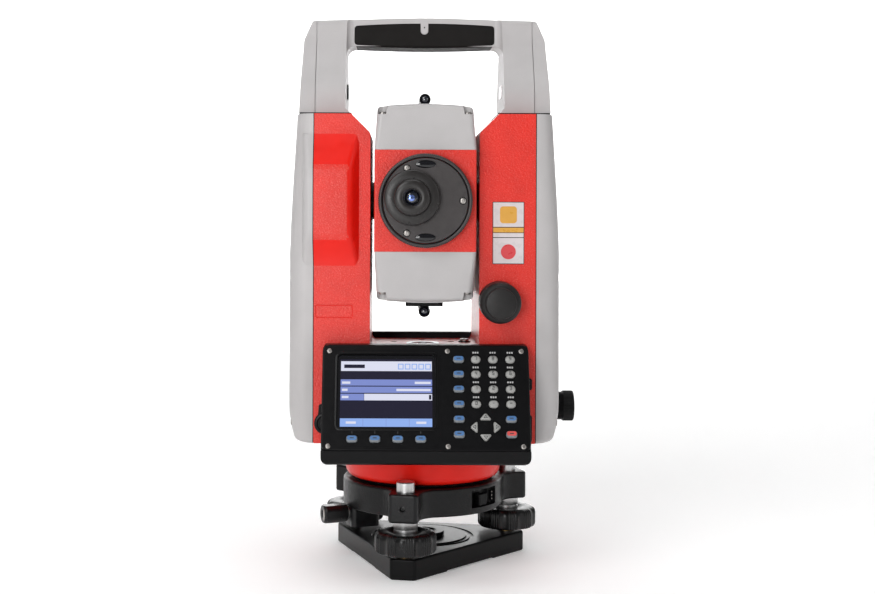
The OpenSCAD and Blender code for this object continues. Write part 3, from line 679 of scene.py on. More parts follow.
def tribrach_head():
    low, high, reach = HEAD_LOW, HEAD.z1, 69.5
    middle = Vector((0, 0, (low + high) / 2))
    core = rounded_prism(head_outline(51, 9.3, reach, 14), low, high, 1.5, BLACK_CAST, "tribrach_body")
    join(core, turned(prism(rect(32, -9, 50.4, 9, 3), 23, low + 1), LOCK_TURN))
    cut(core, cylinder((0, 0, low - 1), UP, 30, 30, 96),
        turned(prism(rect(44.5, -12, 60, 12, 2), low + 4, high - 2.5), POCKET_TURN))
    for name, turn in SCREW_TURNS.items():
        under = polar(turn, SCREW_CIRCLE) + Vector((0, 0, low - 1))
        side = polar(turn, reach - 2.7) + middle
        cut(core, cylinder(under, UP, 5.85, 30), cylinder(under, UP, 7.7, 9), cylinder(side, polar(turn), 1.8, 5, 32))
        turned_piece("set_screw_" + name, "head", "black_casting", BLACK_KNOB, [
            (0, 0), (1.75, 0), (1.75, 1.1), (1.4, 1.3), (0.8, 1.3), (0.7, 0.6), (0, 0.6)], side, polar(turn), steps=32)
    cut(core, cylinder(polar(LOCK_TURN, 31) + Vector((0, 0, 31)), polar(LOCK_TURN), 3.15, 24, 32))
    soften(core, 0.5, 2, angle=40)
    place(core, "head", "black_casting", "tribrach_head")
    for name, outline, z0, z1, edge in (("pocket_catch", rect(45.2, -4, 49.4, 4, 1), low + 4.2, high - 6, 0.5),
                                        ("pocket_pin", rect(46, 9.2, 48.6, 10, 0.3), low + 6, high - 5, 0.3)):
        bar = turned(prism(outline, z0, z1, "z", BLACK_PLATE, name), POCKET_TURN)
        place(soften(bar, edge), "head", "black_casting")
    for k in (-1, 0, 1):
        turned_piece(f"pocket_stud_{k + 2}", "head", "bearing_steel", SCREW_STEEL, [
            (0, 0), (0.45, 0), (0.45, 0.3), (0.25, 0.42), (0, 0.42)],
            polar(POCKET_TURN, 48.5) + polar(POCKET_TURN + 90, 9.6) + middle + Vector((0, 0, 0.5 + 2.2 * k)),
            polar(POCKET_TURN), steps=16)


def lock_knob():
    out, z, r, half, root, tip = polar(LOCK_TURN), 31, 6.4, 5.4, 51.6, 67.4
    axis = Vector((0, 0, z))
    side = out.cross(Vector(UP))
    body = lathe([(0, root), (5.2, root), (5.9, root + 0.8), (6.2, root + 4), (r, root + 9), (r, tip - 1.4),
                  (r - 0.9, tip - 0.2), (r - 1.6, tip), (0, tip)], axis, out, BLACK_KNOB, "lock_knob_body")
    keep_within(body, turned(prism(rect(root - 1, -half - 0.7, tip + 1, half + 0.7, 1.5), z - half, z + half),
                             LOCK_TURN))
    mouth = out * (tip - 1.3) + axis + side * 0.6
    ring = [mouth + side * (1.5 * math.cos(t)) + Vector((0, 0, 2.6 * math.sin(t))) for t in
            (math.tau * k / 32 for k in range(32))]
    cut(body, skin([ring, [p + out * 3 for p in ring]]))
    place(soften(body, 0.5, 3), "lock", "black_knobs", "lock_knob")
    turned_piece("lock_stem", "lock", "bearing_steel", STEEL, [
        (0, 34), (3, 34), (3, 49.8), (3.4, 50), (3.4, 51), (2.9, 51.2), (0, 51.2)], axis, out, steps=48)
    index = lathe([(0, 0), (1.7, 0), (1.7, 0.18), (1.4, 0.3), (0, 0.3)], out * (tip - 0.05) + axis - side * 3.3, out,
                  SCREW_STEEL, "lock_index", 24)
    lift = Matrix.Translation(axis * MM)
    index.data.transform(lift @ Matrix.Scale(2.1, 4, UP) @ lift.inverted())
    place(index, "lock", "bearing_steel", weighted=False)


def flange():
    top = HEAD.z1
    turned_piece("flange_disc", "head", "black_casting", BLACK_PLATE, [
        (14, top - 14), (29.8, top - 14), (29.8, top - 0.1), (44.4, top + 0.05), (44.7, top + 0.4), (44.7, top + 0.9),
        (44.3, top + 1.15), (14, top + 1.15)], node="base_flange")


def bowl():
    z = BOWL.z0
    foot = [(45.5 + 4.2 * math.sin(t), z + 6 * (1 - math.cos(t))) for t in (math.pi / 12 * k for k in range(7))]
    outer = [(52.0, z + 13), (54, z + 18.4), (56, z + 22.4), (58, BOWL.z1)]
    inner = [(55, BOWL.z1), (51, z + 18.4), (47, z + 6), (42, z + 2.6), (16, z + 2.6)]
    turned_piece("base_bowl_shell", "alidade", "red_paint", RED_SMOOTH, [(16, z), (45.2, z)] + foot + outer + inner,
                 node="base_bowl", steps=128, angle=40)


# ---- alidade ----

BULGE_ROOM = (150, 300)              # heights that hold the bulge, for cutting it to its share
COVER_TAPER = 196                    # height above which the side covers lean in


def bulge(x0, x1, slope, room, materials=(), name="tool", end_slope=0, forward=0.0):
    """Pad on the front of the left standard with sloping ends and side, cut to the room (from x, to x)."""
    out, low, flat_low, flat_high, top = -7.5, 189, 206, 250, 270
    rings = []
    for y, k in ((FRONT + 2, 0), (FRONT, 0), (FRONT + out, 1)):
        a, b = low + (flat_low - low) * k, top + (flat_high - top) * k
        left, right = x0 + end_slope * k, x1 - slope * k
        rings.append([(left, y, a), (right, y, a), (right, y, b), (left, y, b)])
    pad = skin(rings, materials, name)
    bm = bmesh.new()
    bm.from_mesh(pad.data)
    edges = [e for e in bm.edges if all(v.co.y / MM < FRONT - 7 for v in e.verts)]
    edges += [e for e in bm.edges if abs(e.verts[0].co.y - e.verts[1].co.y) / MM > 5]
    bmesh.ops.bevel(bm, geom=edges, offset=3.2 * MM, segments=6, profile=0.5, affect="EDGES", clamp_overlap=True)
    bm.to_mesh(pad.data)
    bm.free()
    pad.data.transform(Matrix.Translation((0, -forward * MM, 0)))
    return keep_within(pad, block((room[0], -80, BULGE_ROOM[0]), (room[1], -20, BULGE_ROOM[1])))


def yoke_frame():
    x1, low, top = FRAME.x1, FRAME.z0, FRAME.z1
    half = [(x1, low, 1), (x1, top, 0), (GAP + LEAD, top, 0), (GAP, top - LEAD, 3), (GAP, PLATFORM, 3)]
    body = prism(half + [(-x, z, r) for x, z, r in half[::-1]], FRONT, -FRONT, "y", [RED, RED_SMOOTH, BLACK_PLASTIC],
                 "yoke_body")
    join(body, bulge(-x1 - 3, -40.5, 4.6, (-x1, 0)))
    wall, slope = 4, 4.95
    pocket = [(GAP + wall, low + wall, 0), (x1 + 1, low + wall, 0), (x1 + 1, top - wall, 0),
              (GAP + LEAD - wall + slope, top - wall, 0), (GAP + wall, top - LEAD - slope + wall, 0)]
    for s in (1, -1):
        cut(body, prism([(s * a, b, r) for a, b, r in pocket], FRONT + wall, -FRONT - wall, "y"), material=RED_SMOOTH)
        join(body, lathe([(0, 0), (20, 0), (20, 11.5), (0, 11.5)], (s * GAP, 0, TRUNNION), (s, 0, 0)),
             material=RED_SMOOTH)
        cut(body, cylinder((s * (GAP - 1), 0, TRUNNION), (s, 0, 0), 12.15, 16), material=RED_SMOOTH)
    cut(body, cylinder((0, 0, low - 1), UP, 34, 39, 96), cylinder((LEVEL.mid[0], LEVEL.mid[1], LEVEL.z0), UP, 11.15, 9),
        material=RED_SMOOTH)
    for x, y in ((-19, 24), (19, 24), (0, 38)):
        cut(body, cylinder((x, y, PLATFORM - 3), UP, 2.3, 5, 32), material=BLACK_PLASTIC)
    cut(body, cylinder((DRIVE.mid[0], FRONT - 1, DRIVE.mid[2]), TO_BACK, 5.2, 8, 48),
        prism(rect(-67, 157, -44, 165, 1), FRONT - 1, FRONT + 0.5, "y"), material=RED_SMOOTH)
    proud = FRONT - 0.05
    soften(body, 1.3, 4, keep=lambda p: p.x < -x1 + 0.05 and 186 < p.z < 272 and p.y < proud)
    # front faces that do not face straight forward take the smooth red, so the painted highlight glints stay on the
    # forward faces
    paint(body, 1, lambda c, n: c.y < proud and abs(n.y) < 0.97)
    place(body, "alidade", "red_paint", "yoke_frame", angle=38)
    plate = prism(rect(-66.4, 157.6, -44.6, 164.4, 0.6), FRONT + 0.15, FRONT + 0.6, "y", RED, "blank_plate")
    place(soften(plate, 0.12, 2), "alidade", "red_paint")


def cover_lean(z):
    return 4.6 * (max(0, z - COVER_TAPER) / (COVER.z1 - COVER_TAPER)) ** 1.25


def cover_shell(side, inward, materials=(), name="tool"):
    """Side cover on the +X (side 1) or -X (side -1) side as stacked plan outlines, drawn in by inward."""
    low, top, foot = COVER.z0, COVER.z1, 24
    inner = FRAME.x1 - (1 if inward else 0)
    levels = [(0, 3.0), (0.6, 1.4), (1.7, 0.4), (3.2, 0)]
    levels = [(low + h + inward, 0 if inward else s) for h, s in levels]
    levels += [(z, 0) for z in (low + 8, low + 12, low + 18, low + foot, 150, COVER_TAPER, 212, 230, 248, 265)]
    levels += [(top - inward - 0.6, 0), (top - inward, 0.35)]
    rings = []
    for z, shrink in levels:
        x1 = COVER.x1 - cover_lean(z) - 4.2 * max(0, 1 - (z - low) / foot) ** 2 - inward - shrink
        y1 = -FRONT - inward - min(shrink * 0.5, 1.2)
        outline = [(inner, -y1, 0), (x1, -y1, 11 - inward), (x1, y1, 11 - inward), (inner, y1, 0)]
        rings.append([(side * p.x, p.y, z) for p in arc_points(outline, 12)])
    return skin(rings, materials, name)


def side_covers():
    x1, wall = FRAME.x1, 3
    drive = (0, SIDE_DRIVE.mid[1], SIDE_DRIVE.mid[2])
    for side, s in (("left", -1), ("right", 1)):
        shell = cover_shell(s, 0, GREY, side + "_cover_shell")
        cut(shell, cover_shell(s, wall))
        if s > 0:
            join(shell, lathe([(0, 80), (8.6, 80), (8.6, COVER.x1), (0, COVER.x1)], drive, RIGHTWARDS))
            cut(shell, cylinder((78, *drive[1:]), RIGHTWARDS, 5.2, 8, 48))
        else:
            gap = 0.4
            cut(shell, block((-90, BATTERY.y0 - gap, BATTERY.z0 - gap), (-77, BATTERY.y1 + gap, BATTERY.z1 + gap)))
            place(bulge(-75.2, -x1 + 3, 0, (-90, -x1 - 0.06), GREY, "left_cover_pad", 1.4), "alidade", "grey_shell",
                  angle=38)
        for y, z in ((-38, 275), (38, 275), (-40, 182), (40, 182), (-40, 92), (40, 92)):
            x = s * (COVER.x1 - cover_lean(z) - (0.35 if z < 100 else 0))
            cut(shell, cylinder((x - s * 1.6, y, z), (s, 0, 0), 3.0, 5, 32))
            cross_screw(f"{side}_cover_screw_{y}_{z}", (x - s * 1.5, y, z), (s, 0, 0), 2.3, "alidade", ring=False,
                        height=0.8)
        soften(shell, 0.5, 2, angle=40)
        place(shell, "alidade", "grey_shell", side + "_side_cover", angle=38)
        a, b = sorted((s * (x1 - 0.25), s * (x1 + 0.25)))
        parts = [block((a, FRONT - 0.03, FRAME.z0 + 0.5), (b, -FRONT + 0.03, FRAME.z1 - 0.1), BLACK_PLASTIC)]
        if s < 0:
            parts.append(bulge(-x1 - 4, -x1 + 4, 0, (a, b), BLACK_PLASTIC, forward=0.04))
        place(merge(side + "_cover_seam", parts), "alidade", "black_plastic", weighted=False)


def battery():
    x0, x1, y0, y1, z0, z1 = BATTERY.x0, BATTERY.x1, BATTERY.y0, BATTERY.y1, BATTERY.z0, BATTERY.z1
    face = prism(rect(y0, z0, y1, z1, 3), x0, x0 + 4, "x", GREY, "battery_face")
    cut(face, prism(rect(-10, 156, 10, 164, 3), x0 - 1, x0 + 2.6, "x"))
    join(face, prism(rect(y0 + 2, z0 + 2, y1 - 2, z1 - 2, 2), x0 + 3.5, x1, "x"))
    place(soften(face, 0.8, 3), "battery", "grey_shell", "battery_pack")
    latch = prism(rect(-8.5, 157.2, 8.5, 162.8, 2.4), x0 + 0.6, x0 + 2.5, "x", BLACK_PLASTIC, "battery_latch")
    for k in range(4):
        z = 158.2 + 1.2 * k
        cut(latch, block((x0, -6.5, z), (x0 + 0.9, 6.5, z + 0.6)))
    place(soften(latch, 0.25, 2), "battery", "black_plastic")


def handle():
    top, low = HANDLE.z1, HANDLE.z0
    half, bar, seat, corner = 49.5, GRIP.z0, 1.3, GAP + LEAD
    outline = [(HANDLE.x1, low, 0), (76.4, 331, 7), (71, top - 2.4, 2.5), (0, top, 500), (-71, top - 2.4, 2.5),
               (-76.4, 331, 7), (-HANDLE.x1, low, 0), (-corner, low, 0), (-half, low + 4.1, 0), (-half, bar, 5.5),
               (half, bar, 5.5), (half, low + 4.1, 0), (corner, low, 0)]
    body = prism(outline, -50, 50, "y", GREY, "handle_body", 12)
    side = [(-38, low, 0), (38, low, 0), (36, 300, 22), (18, bar + 3, 22), (17, top + 0.2, 6), (-17, top + 0.2, 6),
            (-18, bar + 3, 22), (-36, 300, 22)]
    keep_within(body, prism(side, -90, 90, "x", steps=12))
    for s in (-1, 1):
        cut(body, prism([(-half, s * 60, 0), (-half, s * 14.2, 5), (half, s * 14.2, 5), (half, s * 60, 0)],
                        bar - 4, top + 3, steps=10))
    soften(body, 1.6, 4, keep=lambda p: p.z < low + 0.5)
    cut(body, grip_form(0.12), seam_strip(-FRAME.x1, side), seam_strip(FRAME.x1, side),
        block((-90, -60, low - 1), (90, 60, low + seat)))
    place(body, "alidade", "grey_shell", "handle", angle=38)
    # black strips under the handle legs, seat high: a dark sheet as painted shade for the shadowed gap between the
    # handle and the standards
    for name, s in (("left", -1), ("right", 1)):
        a, b = sorted((s * (corner + 0.3), s * (HANDLE.x1 - 0.4)))
        shadow_gap_strip = block((a, -37.6, low - 0.1), (b, 37.6, low + seat + 0.1), BLACK_PLASTIC, "handle_shadow_gap_" + name)
        place(shadow_gap_strip, "alidade", "black_plastic", weighted=False)
    grip = grip_form(0, GRIP_RUBBER, "grip_sleeve")
    place(soften(grip, 0.5, 3), "alidade", "grip_rubber", "handle_grip", angle=40)
    turned_piece("grip_pip", "alidade", "black_plastic", GUNMETAL, [(0, -0.4), (0.55, -0.4), (0.5, 0.1), (0, 0.15)],
                 (0, -14.1, top - 6.4), TO_FRONT, steps=24)
    latch = prism(rect(-6, 294.3, 6, 303.8, 1), -half - 0.6, -half + 1.1, "x", BLACK_KNOB, "handle_latch")
    place(soften(latch, 0.4, 3), "alidade", "black_plastic")
    mark = prism(rect(-14, 295, 7, 303, 1), half - 0.35, half + 0.6, "x", LABEL, "handle_mark")
    place(soften(mark, 0.12, 2), "alidade", "grey_shell")


def seam_strip(x, side):
    """Thin strip that follows the front and back of the handle, for the joint of its end caps."""
    half, depth, high = 0.22, 1.2, 320
    outer = arc_points(side, 12)
    middle = Vector((0, 300))
    inner = [p + (middle - p).normalized() * depth for p in outer]
    proud = [Vector((p.x * 1.04, p.y + (2 if p.y > high else 0))) for p in outer]
    rings = [[(x + a, p.x, p.y) for p in ring] for a, ring in ((-half, proud), (half, proud), (half, inner),
                                                               (-half, inner))]
    bm = bmesh.new()
    stack(bm, rings + [rings[0]], False)
    bmesh.ops.remove_doubles(bm, verts=bm.verts, dist=0.001)
    return to_object(bm)


def grip_form(grow, materials=(), name="tool"):
    """Soft sleeve under and round the bar: a bowed tube with a cut for the tab at the middle."""
    half, low, top, width, end_r, count = GRIP.x1 + grow, GRIP.z0, HANDLE.z1, 14.5 + grow, 2, 24
    ends = [-half + d for d in (0, 0.15, 0.6, 1.2, 2)]
    stations = ends + [-half + 2 * half * k / count for k in range(2, count - 1)] + [-x for x in ends[::-1]]
    rings = []
    for x in stations:
        u = x / half
        trim = end_r * (1 - math.sqrt(1 - max(0, 1 - (half - abs(x)) / end_r) ** 2))
        z0 = low - 1.1 * (1 - u * u) - grow + trim
        z1 = top - 1.6 * u * u - 2.9 + grow - trim
        outline = [(-width, z0, 2), (width, z0, 2), (width - 0.2, z1, 2), (-width + 0.2, z1, 2)]
        rings.append([(x, p.x, p.y) for p in arc_points(outline)])
    sleeve = skin(rings, materials, name)
    tab_w, tab_z = 2.5 - grow, top - 8.4
    return cut(sleeve, block((-half - 1, -8 + grow, low + 4.5 + grow), (half + 1, 8 - grow, top + 5)),
               prism(rect(-tab_w, tab_z, tab_w, top + 5), -20, 20, "y"),
               cylinder((0, -20, tab_z), TO_BACK, tab_w, 40, 32))


def platform_bits():
    centre = (LEVEL.mid[0], LEVEL.mid[1], LEVEL.z0)
    turned_piece("level_ring", "alidade", "bearing_steel", STEEL, [
        (7.3, 5.9), (7.5, 7.1), (8.0, 7.3), (10.4, 7.3), (10.9, 6.9), (11, 6.4), (11, 0), (7.3, 0)], centre,
        node="circular_level", steps=64)
    turned_piece("level_glass", "alidade", "screen_glass", LEVEL_GLASS, [
        (0, 2), (7.28, 2), (7.28, 6.2), (6.2, 6.55), (3.5, 6.85), (0, 7.0)], centre, steps=64)
    turned_piece("level_circle", "alidade", "black_plastic", INK, [
        (2.9, 6.8), (3.25, 6.8), (3.25, 7.02), (2.9, 7.05)], centre, steps=64)
    cross_screw("platform_screw", (27.8, 22.7, PLATFORM + 0.6), UP, 3.1, "alidade", height=1.6)
    # thin black ring on the frame right behind the vertical drive knob: painted shade in the gap under the knob
    turned_piece("drive_knob_shadow_ring", "alidade", "black_plastic", BLACK_PLASTIC, [
        (5.3, 0.0), (10.4, 0.0), (10.4, 0.15), (5.3, 0.17)], (DRIVE.mid[0], FRONT - 0.001, DRIVE.mid[2]), TO_FRONT,
        steps=64)


def ribs(count, depth, r_min, low, high):
    """Wobble that draws in the rim of a knob between its ribs."""
    return lambda r, along, t: (-depth * (0.5 - 0.5 * math.cos(count * t)) if r > r_min and low < along < high else 0)


def drives():
    x, y, z = DRIVE.mid[0], SIDE_DRIVE.mid[1], SIDE_DRIVE.mid[2]
    turned_piece("drive_knob", "vertical_drive", "black_knobs", KNOB_MATTE, [
        (0, 0), (11.4, 0), (12.1, 0.2), (12.5, 0.8), (12.6, 1.6), (12.6, 16.4), (12.45, 17.8), (12.0, 19.0),
        (11.2, 20.1), (10.3, 20.8), (9.5, 21.1), (9.3, 21.5), (9.3, 24.0), (9.1, 24.7), (8.5, 25), (0, 25)],
        (x, FRONT - 0.2, DRIVE.mid[2]), TO_FRONT, "vertical_drive_knob", 360, 45, ribs(90, 0.25, 12.3, 2, 17))
    turned_piece("drive_stem", "vertical_drive", "bearing_steel", STEEL, [(0, 0), (5, 0), (5, 10.2), (0, 10.2)],
                 (x, FRONT + 10, DRIVE.mid[2]), TO_FRONT, steps=48)
    x = COVER.x1 + 0.2
    turned_piece("side_drive_knob", "horizontal_drive", "black_knobs", BLACK_PLASTIC, [
        (0, 0), (8.5, 0), (8.8, 0.3), (8.8, 4.5), (9.2, 4.9), (9.5, 5.3), (9.6, 5.9), (9.6, 11.0), (9.4, 11.7),
        (8.9, 12.1), (8.3, 12.2), (7.6, 11.9), (6.8, 11.7), (0, 11.7)],
        (x, y, z), RIGHTWARDS, "horizontal_drive_knob", 360, 45, ribs(60, 0.3, 9.2, 5.5, 11.5))
    turned_piece("side_drive_stem", "horizontal_drive", "bearing_steel", STEEL, [(0, 0), (5, 0), (5, 12), (0, 12)],
                 (x - 12, y, z), RIGHTWARDS, steps=48)


def label():
    """Generic foil label: a pale field with plain colour patches and no marks."""
    x0, x1, z0, z1, m = 41.5, 61.0, 190.3, 228.6, 0.45
    mid = (x0 + x1) / 2
    for name, outline, proud, deep, mat in (
            ("label_back", rect(x0, z0, x1, z1, 0.5), 0.12, 0.05, GUNMETAL),
            ("label_top", rect(x0 + m, z1 - 15.4, x1 - m, z1 - m, 0.2), 0.18, 0, LABEL),
            ("label_band", rect(x0 + m, z1 - 18.8, x1 - m, z1 - 15.9, 0.2), 0.18, 0, AMBER),
            ("label_line", rect(x0 + m, z1 - 21.7, x1 - m, z1 - 19.2, 0.2), 0.18, 0, LABEL),
            ("label_low", rect(x0 + m, z0 + m, x1 - m, z1 - 22.2, 0.2), 0.18, 0, LABEL),
            ("label_patch", rect(mid - 5.2, z1 - 13.2, mid + 5.2, z1 - 2.8, 2), 0.24, 0, AMBER)):
        field = prism(outline, FRONT - proud, FRONT + deep, "y", mat, name)
        place(field, "alidade", "grey_shell", weighted=False)
    turned_piece("label_disc", "alidade", "grey_shell", LABEL_RED, [(0, 0), (4.6, 0), (4.6, 0.24), (0, 0.24)],
                 (mid, FRONT, z0 + 7.6), TO_FRONT, steps=64)


def port_caps():
    """Rubber port covers on the standards, cut off where the display stands before them."""
    z, x, r, edge = 92.7, -60.6, 6.8, HOUSING.x0 - 0.15
    cap = lathe([(0, 0), (r - 0.4, 0), (r, 0.4), (r, 3.0), (r - 0.5, 3.6), (r - 1.6, 3.8), (r - 2.2, 3.3), (0, 3.3)],
                (x, FRONT + 0.1, z), TO_FRONT, BLACK_PLASTIC, "port_cap", 64)
    join(cap, prism([(x - 4.6, z + 4.0, 0), (x - 1.4, z + 6, 0), (x - 1.0, z + 12, 1.2), (x - 4.0, z + 11.2, 1.2)],
                    FRONT - 2.2, FRONT + 0.1, "y"))
    keep_within(cap, block((edge - 20, FRONT - 9, 60), (edge, FRONT + 1, 130)))
    place(soften(cap, 0.3, 2), "alidade", "black_plastic")
    x0, x1 = HOUSING.x1 + 0.3, HOUSING.x1 + 3.2
    for name, low, high in (("port_strap", 113.2, 120.4), ("port_cover", 81.2, 98.0)):
        piece = prism([(x0, low, 1), (x1, low, 1.4), (x1, high, 1.4), (x0, high, 1)], FRONT - 2.4, FRONT + 0.1, "y",
                      BLACK_PLASTIC, name)
        place(soften(piece, 0.6, 3), "alidade", "black_plastic")


# ---- display ----

def face_matrix(mirrored=False):
    """Local axes of the sloping face: x across, y up the face, z out of it, in millimetres."""
    matrix = Matrix.Translation(FACE_ORIGIN) @ Matrix.Rotation(math.pi / 2 - FACE_LEAN, 4, "X")
    return Matrix.Scale(-1, 4, TO_BACK) @ matrix if mirrored else matrix


def on_face(obj, x=0.0, v=0.0, turn=0.0, mirrored=False):
    """Moves a mesh drawn flat at the origin onto the sloping face."""
    whole = face_matrix(mirrored) @ Matrix.Translation((x, v, 0)) @ Matrix.Rotation(math.radians(turn), 4, "Z")
    whole.translation *= MM
    obj.data.transform(whole)
    if mirrored:
        obj.data.flip_normals()
    return obj


def face_screws(name, xs, vs, r, mirrored=False):
    matrix = face_matrix(mirrored)
    for x in xs:
        for v in vs:
            cross_screw(f"{name}_{int(x)}_{int(v)}", matrix @ Vector((x, v, 0.12)), matrix.to_3x3() @ Vector(UP), r,
                        "alidade")


def display_block(name, length, depth, mirrored=False):
    """Body of a display unit whose face is that long and lies depth behind the bezel's."""
    def point(v, d):
        return (BEZEL.y0 + v * math.sin(FACE_LEAN) + d * math.cos(FACE_LEAN),
                FACE_ORIGIN.z + v * math.cos(FACE_LEAN) - d * math.sin(FACE_LEAN))
    chin, base, back = HOUSING.z0, FRAME.z0 + 0.5, FRONT - 0.05
    top = point(length, depth)
    side = [(*top, 0.6), (back, top[1] + 0.4, 0), (back, base, 0), (-60, base, 0), (-60, chin, 1),
            (BEZEL.y0 + 2.4, chin, 1.2), (BEZEL.y0 + 0.9, chin + 1.2, 0), (*point(0, 0), 0), (*point(0, depth), 0)]
    body = prism(side, HOUSING.x0, HOUSING.x1, "x", BLACK_PLASTIC, name)
    high = FACE_ORIGIN.z + length * math.cos(FACE_LEAN) + 0.5
    keep_within(body, prism(rect(HOUSING.x0, chin, HOUSING.x1, high, 4.5), -110, -40, "y"))
    if mirrored:
        body.data.transform(Matrix.Scale(-1, 4, TO_BACK))
        body.data.flip_normals()
    return body


FIRST_KEY = (20.3, 10.1)             # lowest key of the left column
PITCH = (10.35, 9.15)
PAD = (36, 14.5)                     # middle of the arrow keys
SOFT_KEYS = [(-43.4 + 13.6 * i, 7.2) for i in range(4)]
MARK_RISE = 0.5                      # the print sits above the middle of a key


def key_list():
    """[node, kind, x, v, turn, mark] for each key."""
    def at(i, j):
        return FIRST_KEY[0] + i * PITCH[0], FIRST_KEY[1] + j * PITCH[1]
    keys = [(f"key_f{i + 1}", "soft", *SOFT_KEYS[i], 0, "dash") for i in range(4)]
    keys += [(f"key_c{j + 1}", "soft", *at(0, 5 - j), 0, "dash") for j in range(6)]
    keys += [(f"key_{n}", "round", *at(1 + (n - 1) % 3, 3 + (n - 1) // 3), 0, str(n)) for n in range(1, 10)]
    keys += [("key_0", "round", *at(1, 2), 0, "0"), ("key_point", "round", *at(2, 2), 0, "."),
             ("key_minus", "round", *at(3, 2), 0, "-")]
    keys += [(f"key_{name}", "arrow", PAD[0] + dx, PAD[1] + dv, turn, "tri") for name, dx, dv, turn in
             (("up", 0, 6.3, 90), ("left", -6.85, 0, 180), ("right", 6.85, 0, 0), ("down", 0, -6.3, -90))]
    return keys + [("key_blue", "soft", *at(3, 1), 0, "dash"), ("key_red", "soft", *at(3, 0), 0, "dash")]


def key_outline(kind, grow=0.0):
    if kind == "soft":
        return centred(6.6 + 2 * grow, 4.2 + 2 * grow, 1.7 + grow)
    if kind == "round":
        return centred(5.8 + 2 * grow, 4.6 + 2 * grow, 2.25 + grow)
    base, tip, r = 2.1 + grow, 1.95 + grow, 0.7 + grow
    return [(-base, 4.0 + grow, r), (-base, -4.0 - grow, r), (tip, -0.6 - grow, r), (tip, 0.6 + grow, r)]


def key_cap(node, kind, x, v, turn, mark):
    points = arc_points(key_outline(kind), 6)
    size = max(p.length for p in points)
    levels = [(-4.2, 0), (0.35, 0), (0.75, 0.12), (1.05, 0.4), (1.28, 0.8), (1.38, 1.3), (1.4, 1.8)]
    cap = skin([[(*(p * (1 - drawn_in / size * 1.4)), h) for p in points] for h, drawn_in in levels],
               KEY_SKIRT if kind == "soft" else KEY_GREY, "cap_" + node)
    body = node + "_cap"
    slot = next(r["material_slot"] for r in frame["record"]["subparts"] if r["node"] == node)
    place(on_face(cap, x, v, turn), body, slot, node, weighted=False, angle=60)
    symbol = key_mark(node, mark)
    if kind == "soft":
        pad = prism(centred(5.7, 2.7, 1.25), 0.9, 1.41, "z", KEY_RED if node == "key_red" else KEY_BLUE,
                    "print_" + node)
        place(on_face(pad, x, v + MARK_RISE), body, slot, weighted=False)
    rise, turn = (0, turn) if kind == "arrow" else (MARK_RISE, 0)
    place(on_face(symbol, x, v + rise, turn), body, slot, weighted=False)


def key_mark(node, mark):
    """Raised print on a key: a digit, a small dash or a triangle outline."""
    low, high, name = 1.2, 1.46, "mark_" + node
    if mark == "tri":
        outer = [(1.1, 0), (-0.95, 1.3), (-0.95, -1.3)]
        inner = [(0.55, 0), (-0.65, 0.75), (-0.65, -0.75)]
        return skin([[(a, b, h) for a, b in loop] for loop, h in ((outer, low), (outer, high), (inner, high),
                                                                  (inner, low))], INK, name, False)
    if mark in MARK_BARS:
        w, h = MARK_BARS[mark]
        return prism(centred(w, h, 0.2), low, high, "z", INK, name)
    return digit(name, mark, 1.9, low, high)


MARK_BARS = {"dash": (2.4, 0.6), "-": (1.6, 0.5), ".": (0.6, 0.5)}
SEGMENTS = {"0": "abcdef", "1": "bc", "2": "abged", "3": "abgcd", "4": "fgbc", "5": "afgcd", "6": "afgedc", "7": "abc",
            "8": "abcdefg", "9": "abfgcd"}


def digit(name, value, h, low, high):
    """A digit of plain bars, h high, drawn flat at the origin."""
    w, t = h * 0.5, h * 0.16
    level = {"a": h / 2, "g": 0, "d": -h / 2}
    upright = {"f": (-w / 2, h / 4), "b": (w / 2, h / 4), "e": (-w / 2, -h / 4), "c": (w / 2, -h / 4)}
    parts = []
    for seg in SEGMENTS[value]:
        if seg in level:
            x, y, bar_w, bar_h = 0, level[seg], w + t, t
        else:
            (x, y), bar_w, bar_h = upright[seg], t, h / 2
        parts.append(prism(rect(x - bar_w / 2, y - bar_h / 2, x + bar_w / 2, y + bar_h / 2), low, high, "z", INK))
    return merge(name, parts)


def display():
    housing = display_block("display_body", FACE_L, BEZEL_T)
    soften(housing, 0.8, 3, keep=lambda p: p.y > FRONT - 1)
    place(housing, "alidade", "black_plastic", "display_housing")
    panel = prism(centred(HOUSING.x1 - HOUSING.x0, FACE_L - 0.3, 4.5), -BEZEL_T + 0.3, 0, "z", BLACK_PLASTIC,
                  "bezel_panel")
    soften(panel, 0.9, 3)
    mid_x, mid_v = (HOUSING.x0 + HOUSING.x1) / 2, FACE_L / 2
    wx, wv, ww, wh = WINDOW
    holes = [(centred(ww, wh, 2.5), wx, wv, 0, 8)]
    holes += [(key_outline(kind, 0.22), x, v, turn, 5) for node, kind, x, v, turn, mark in key_list()]
    for outline, x, v, turn, steps in holes:
        hole = turned(prism(outline, -5, 5, steps=steps), turn)
        hole.data.transform(Matrix.Translation(((x - mid_x) * MM, (v - mid_v) * MM, 0)))
        cut(panel, hole)
    place(on_face(panel, mid_x, mid_v), "alidade", "black_plastic", "display_bezel", angle=40)
    relief_and_marks()
    screen()
    face_screws("bezel_screw", (-57.6, 13.6, 58.2), (2.9, 61), 1.5)


def face_marks(name, slot, mat, marks, low=-0.1):
    """One piece of flat rounded marks on the face: (x, v, width, height, radius, thickness) each."""
    parts = [on_face(prism(centred(w, h, r), low, high, "z", mat), x, v) for x, v, w, h, r, high in marks]
    place(merge(name, parts), "alidade", slot, weighted=False)


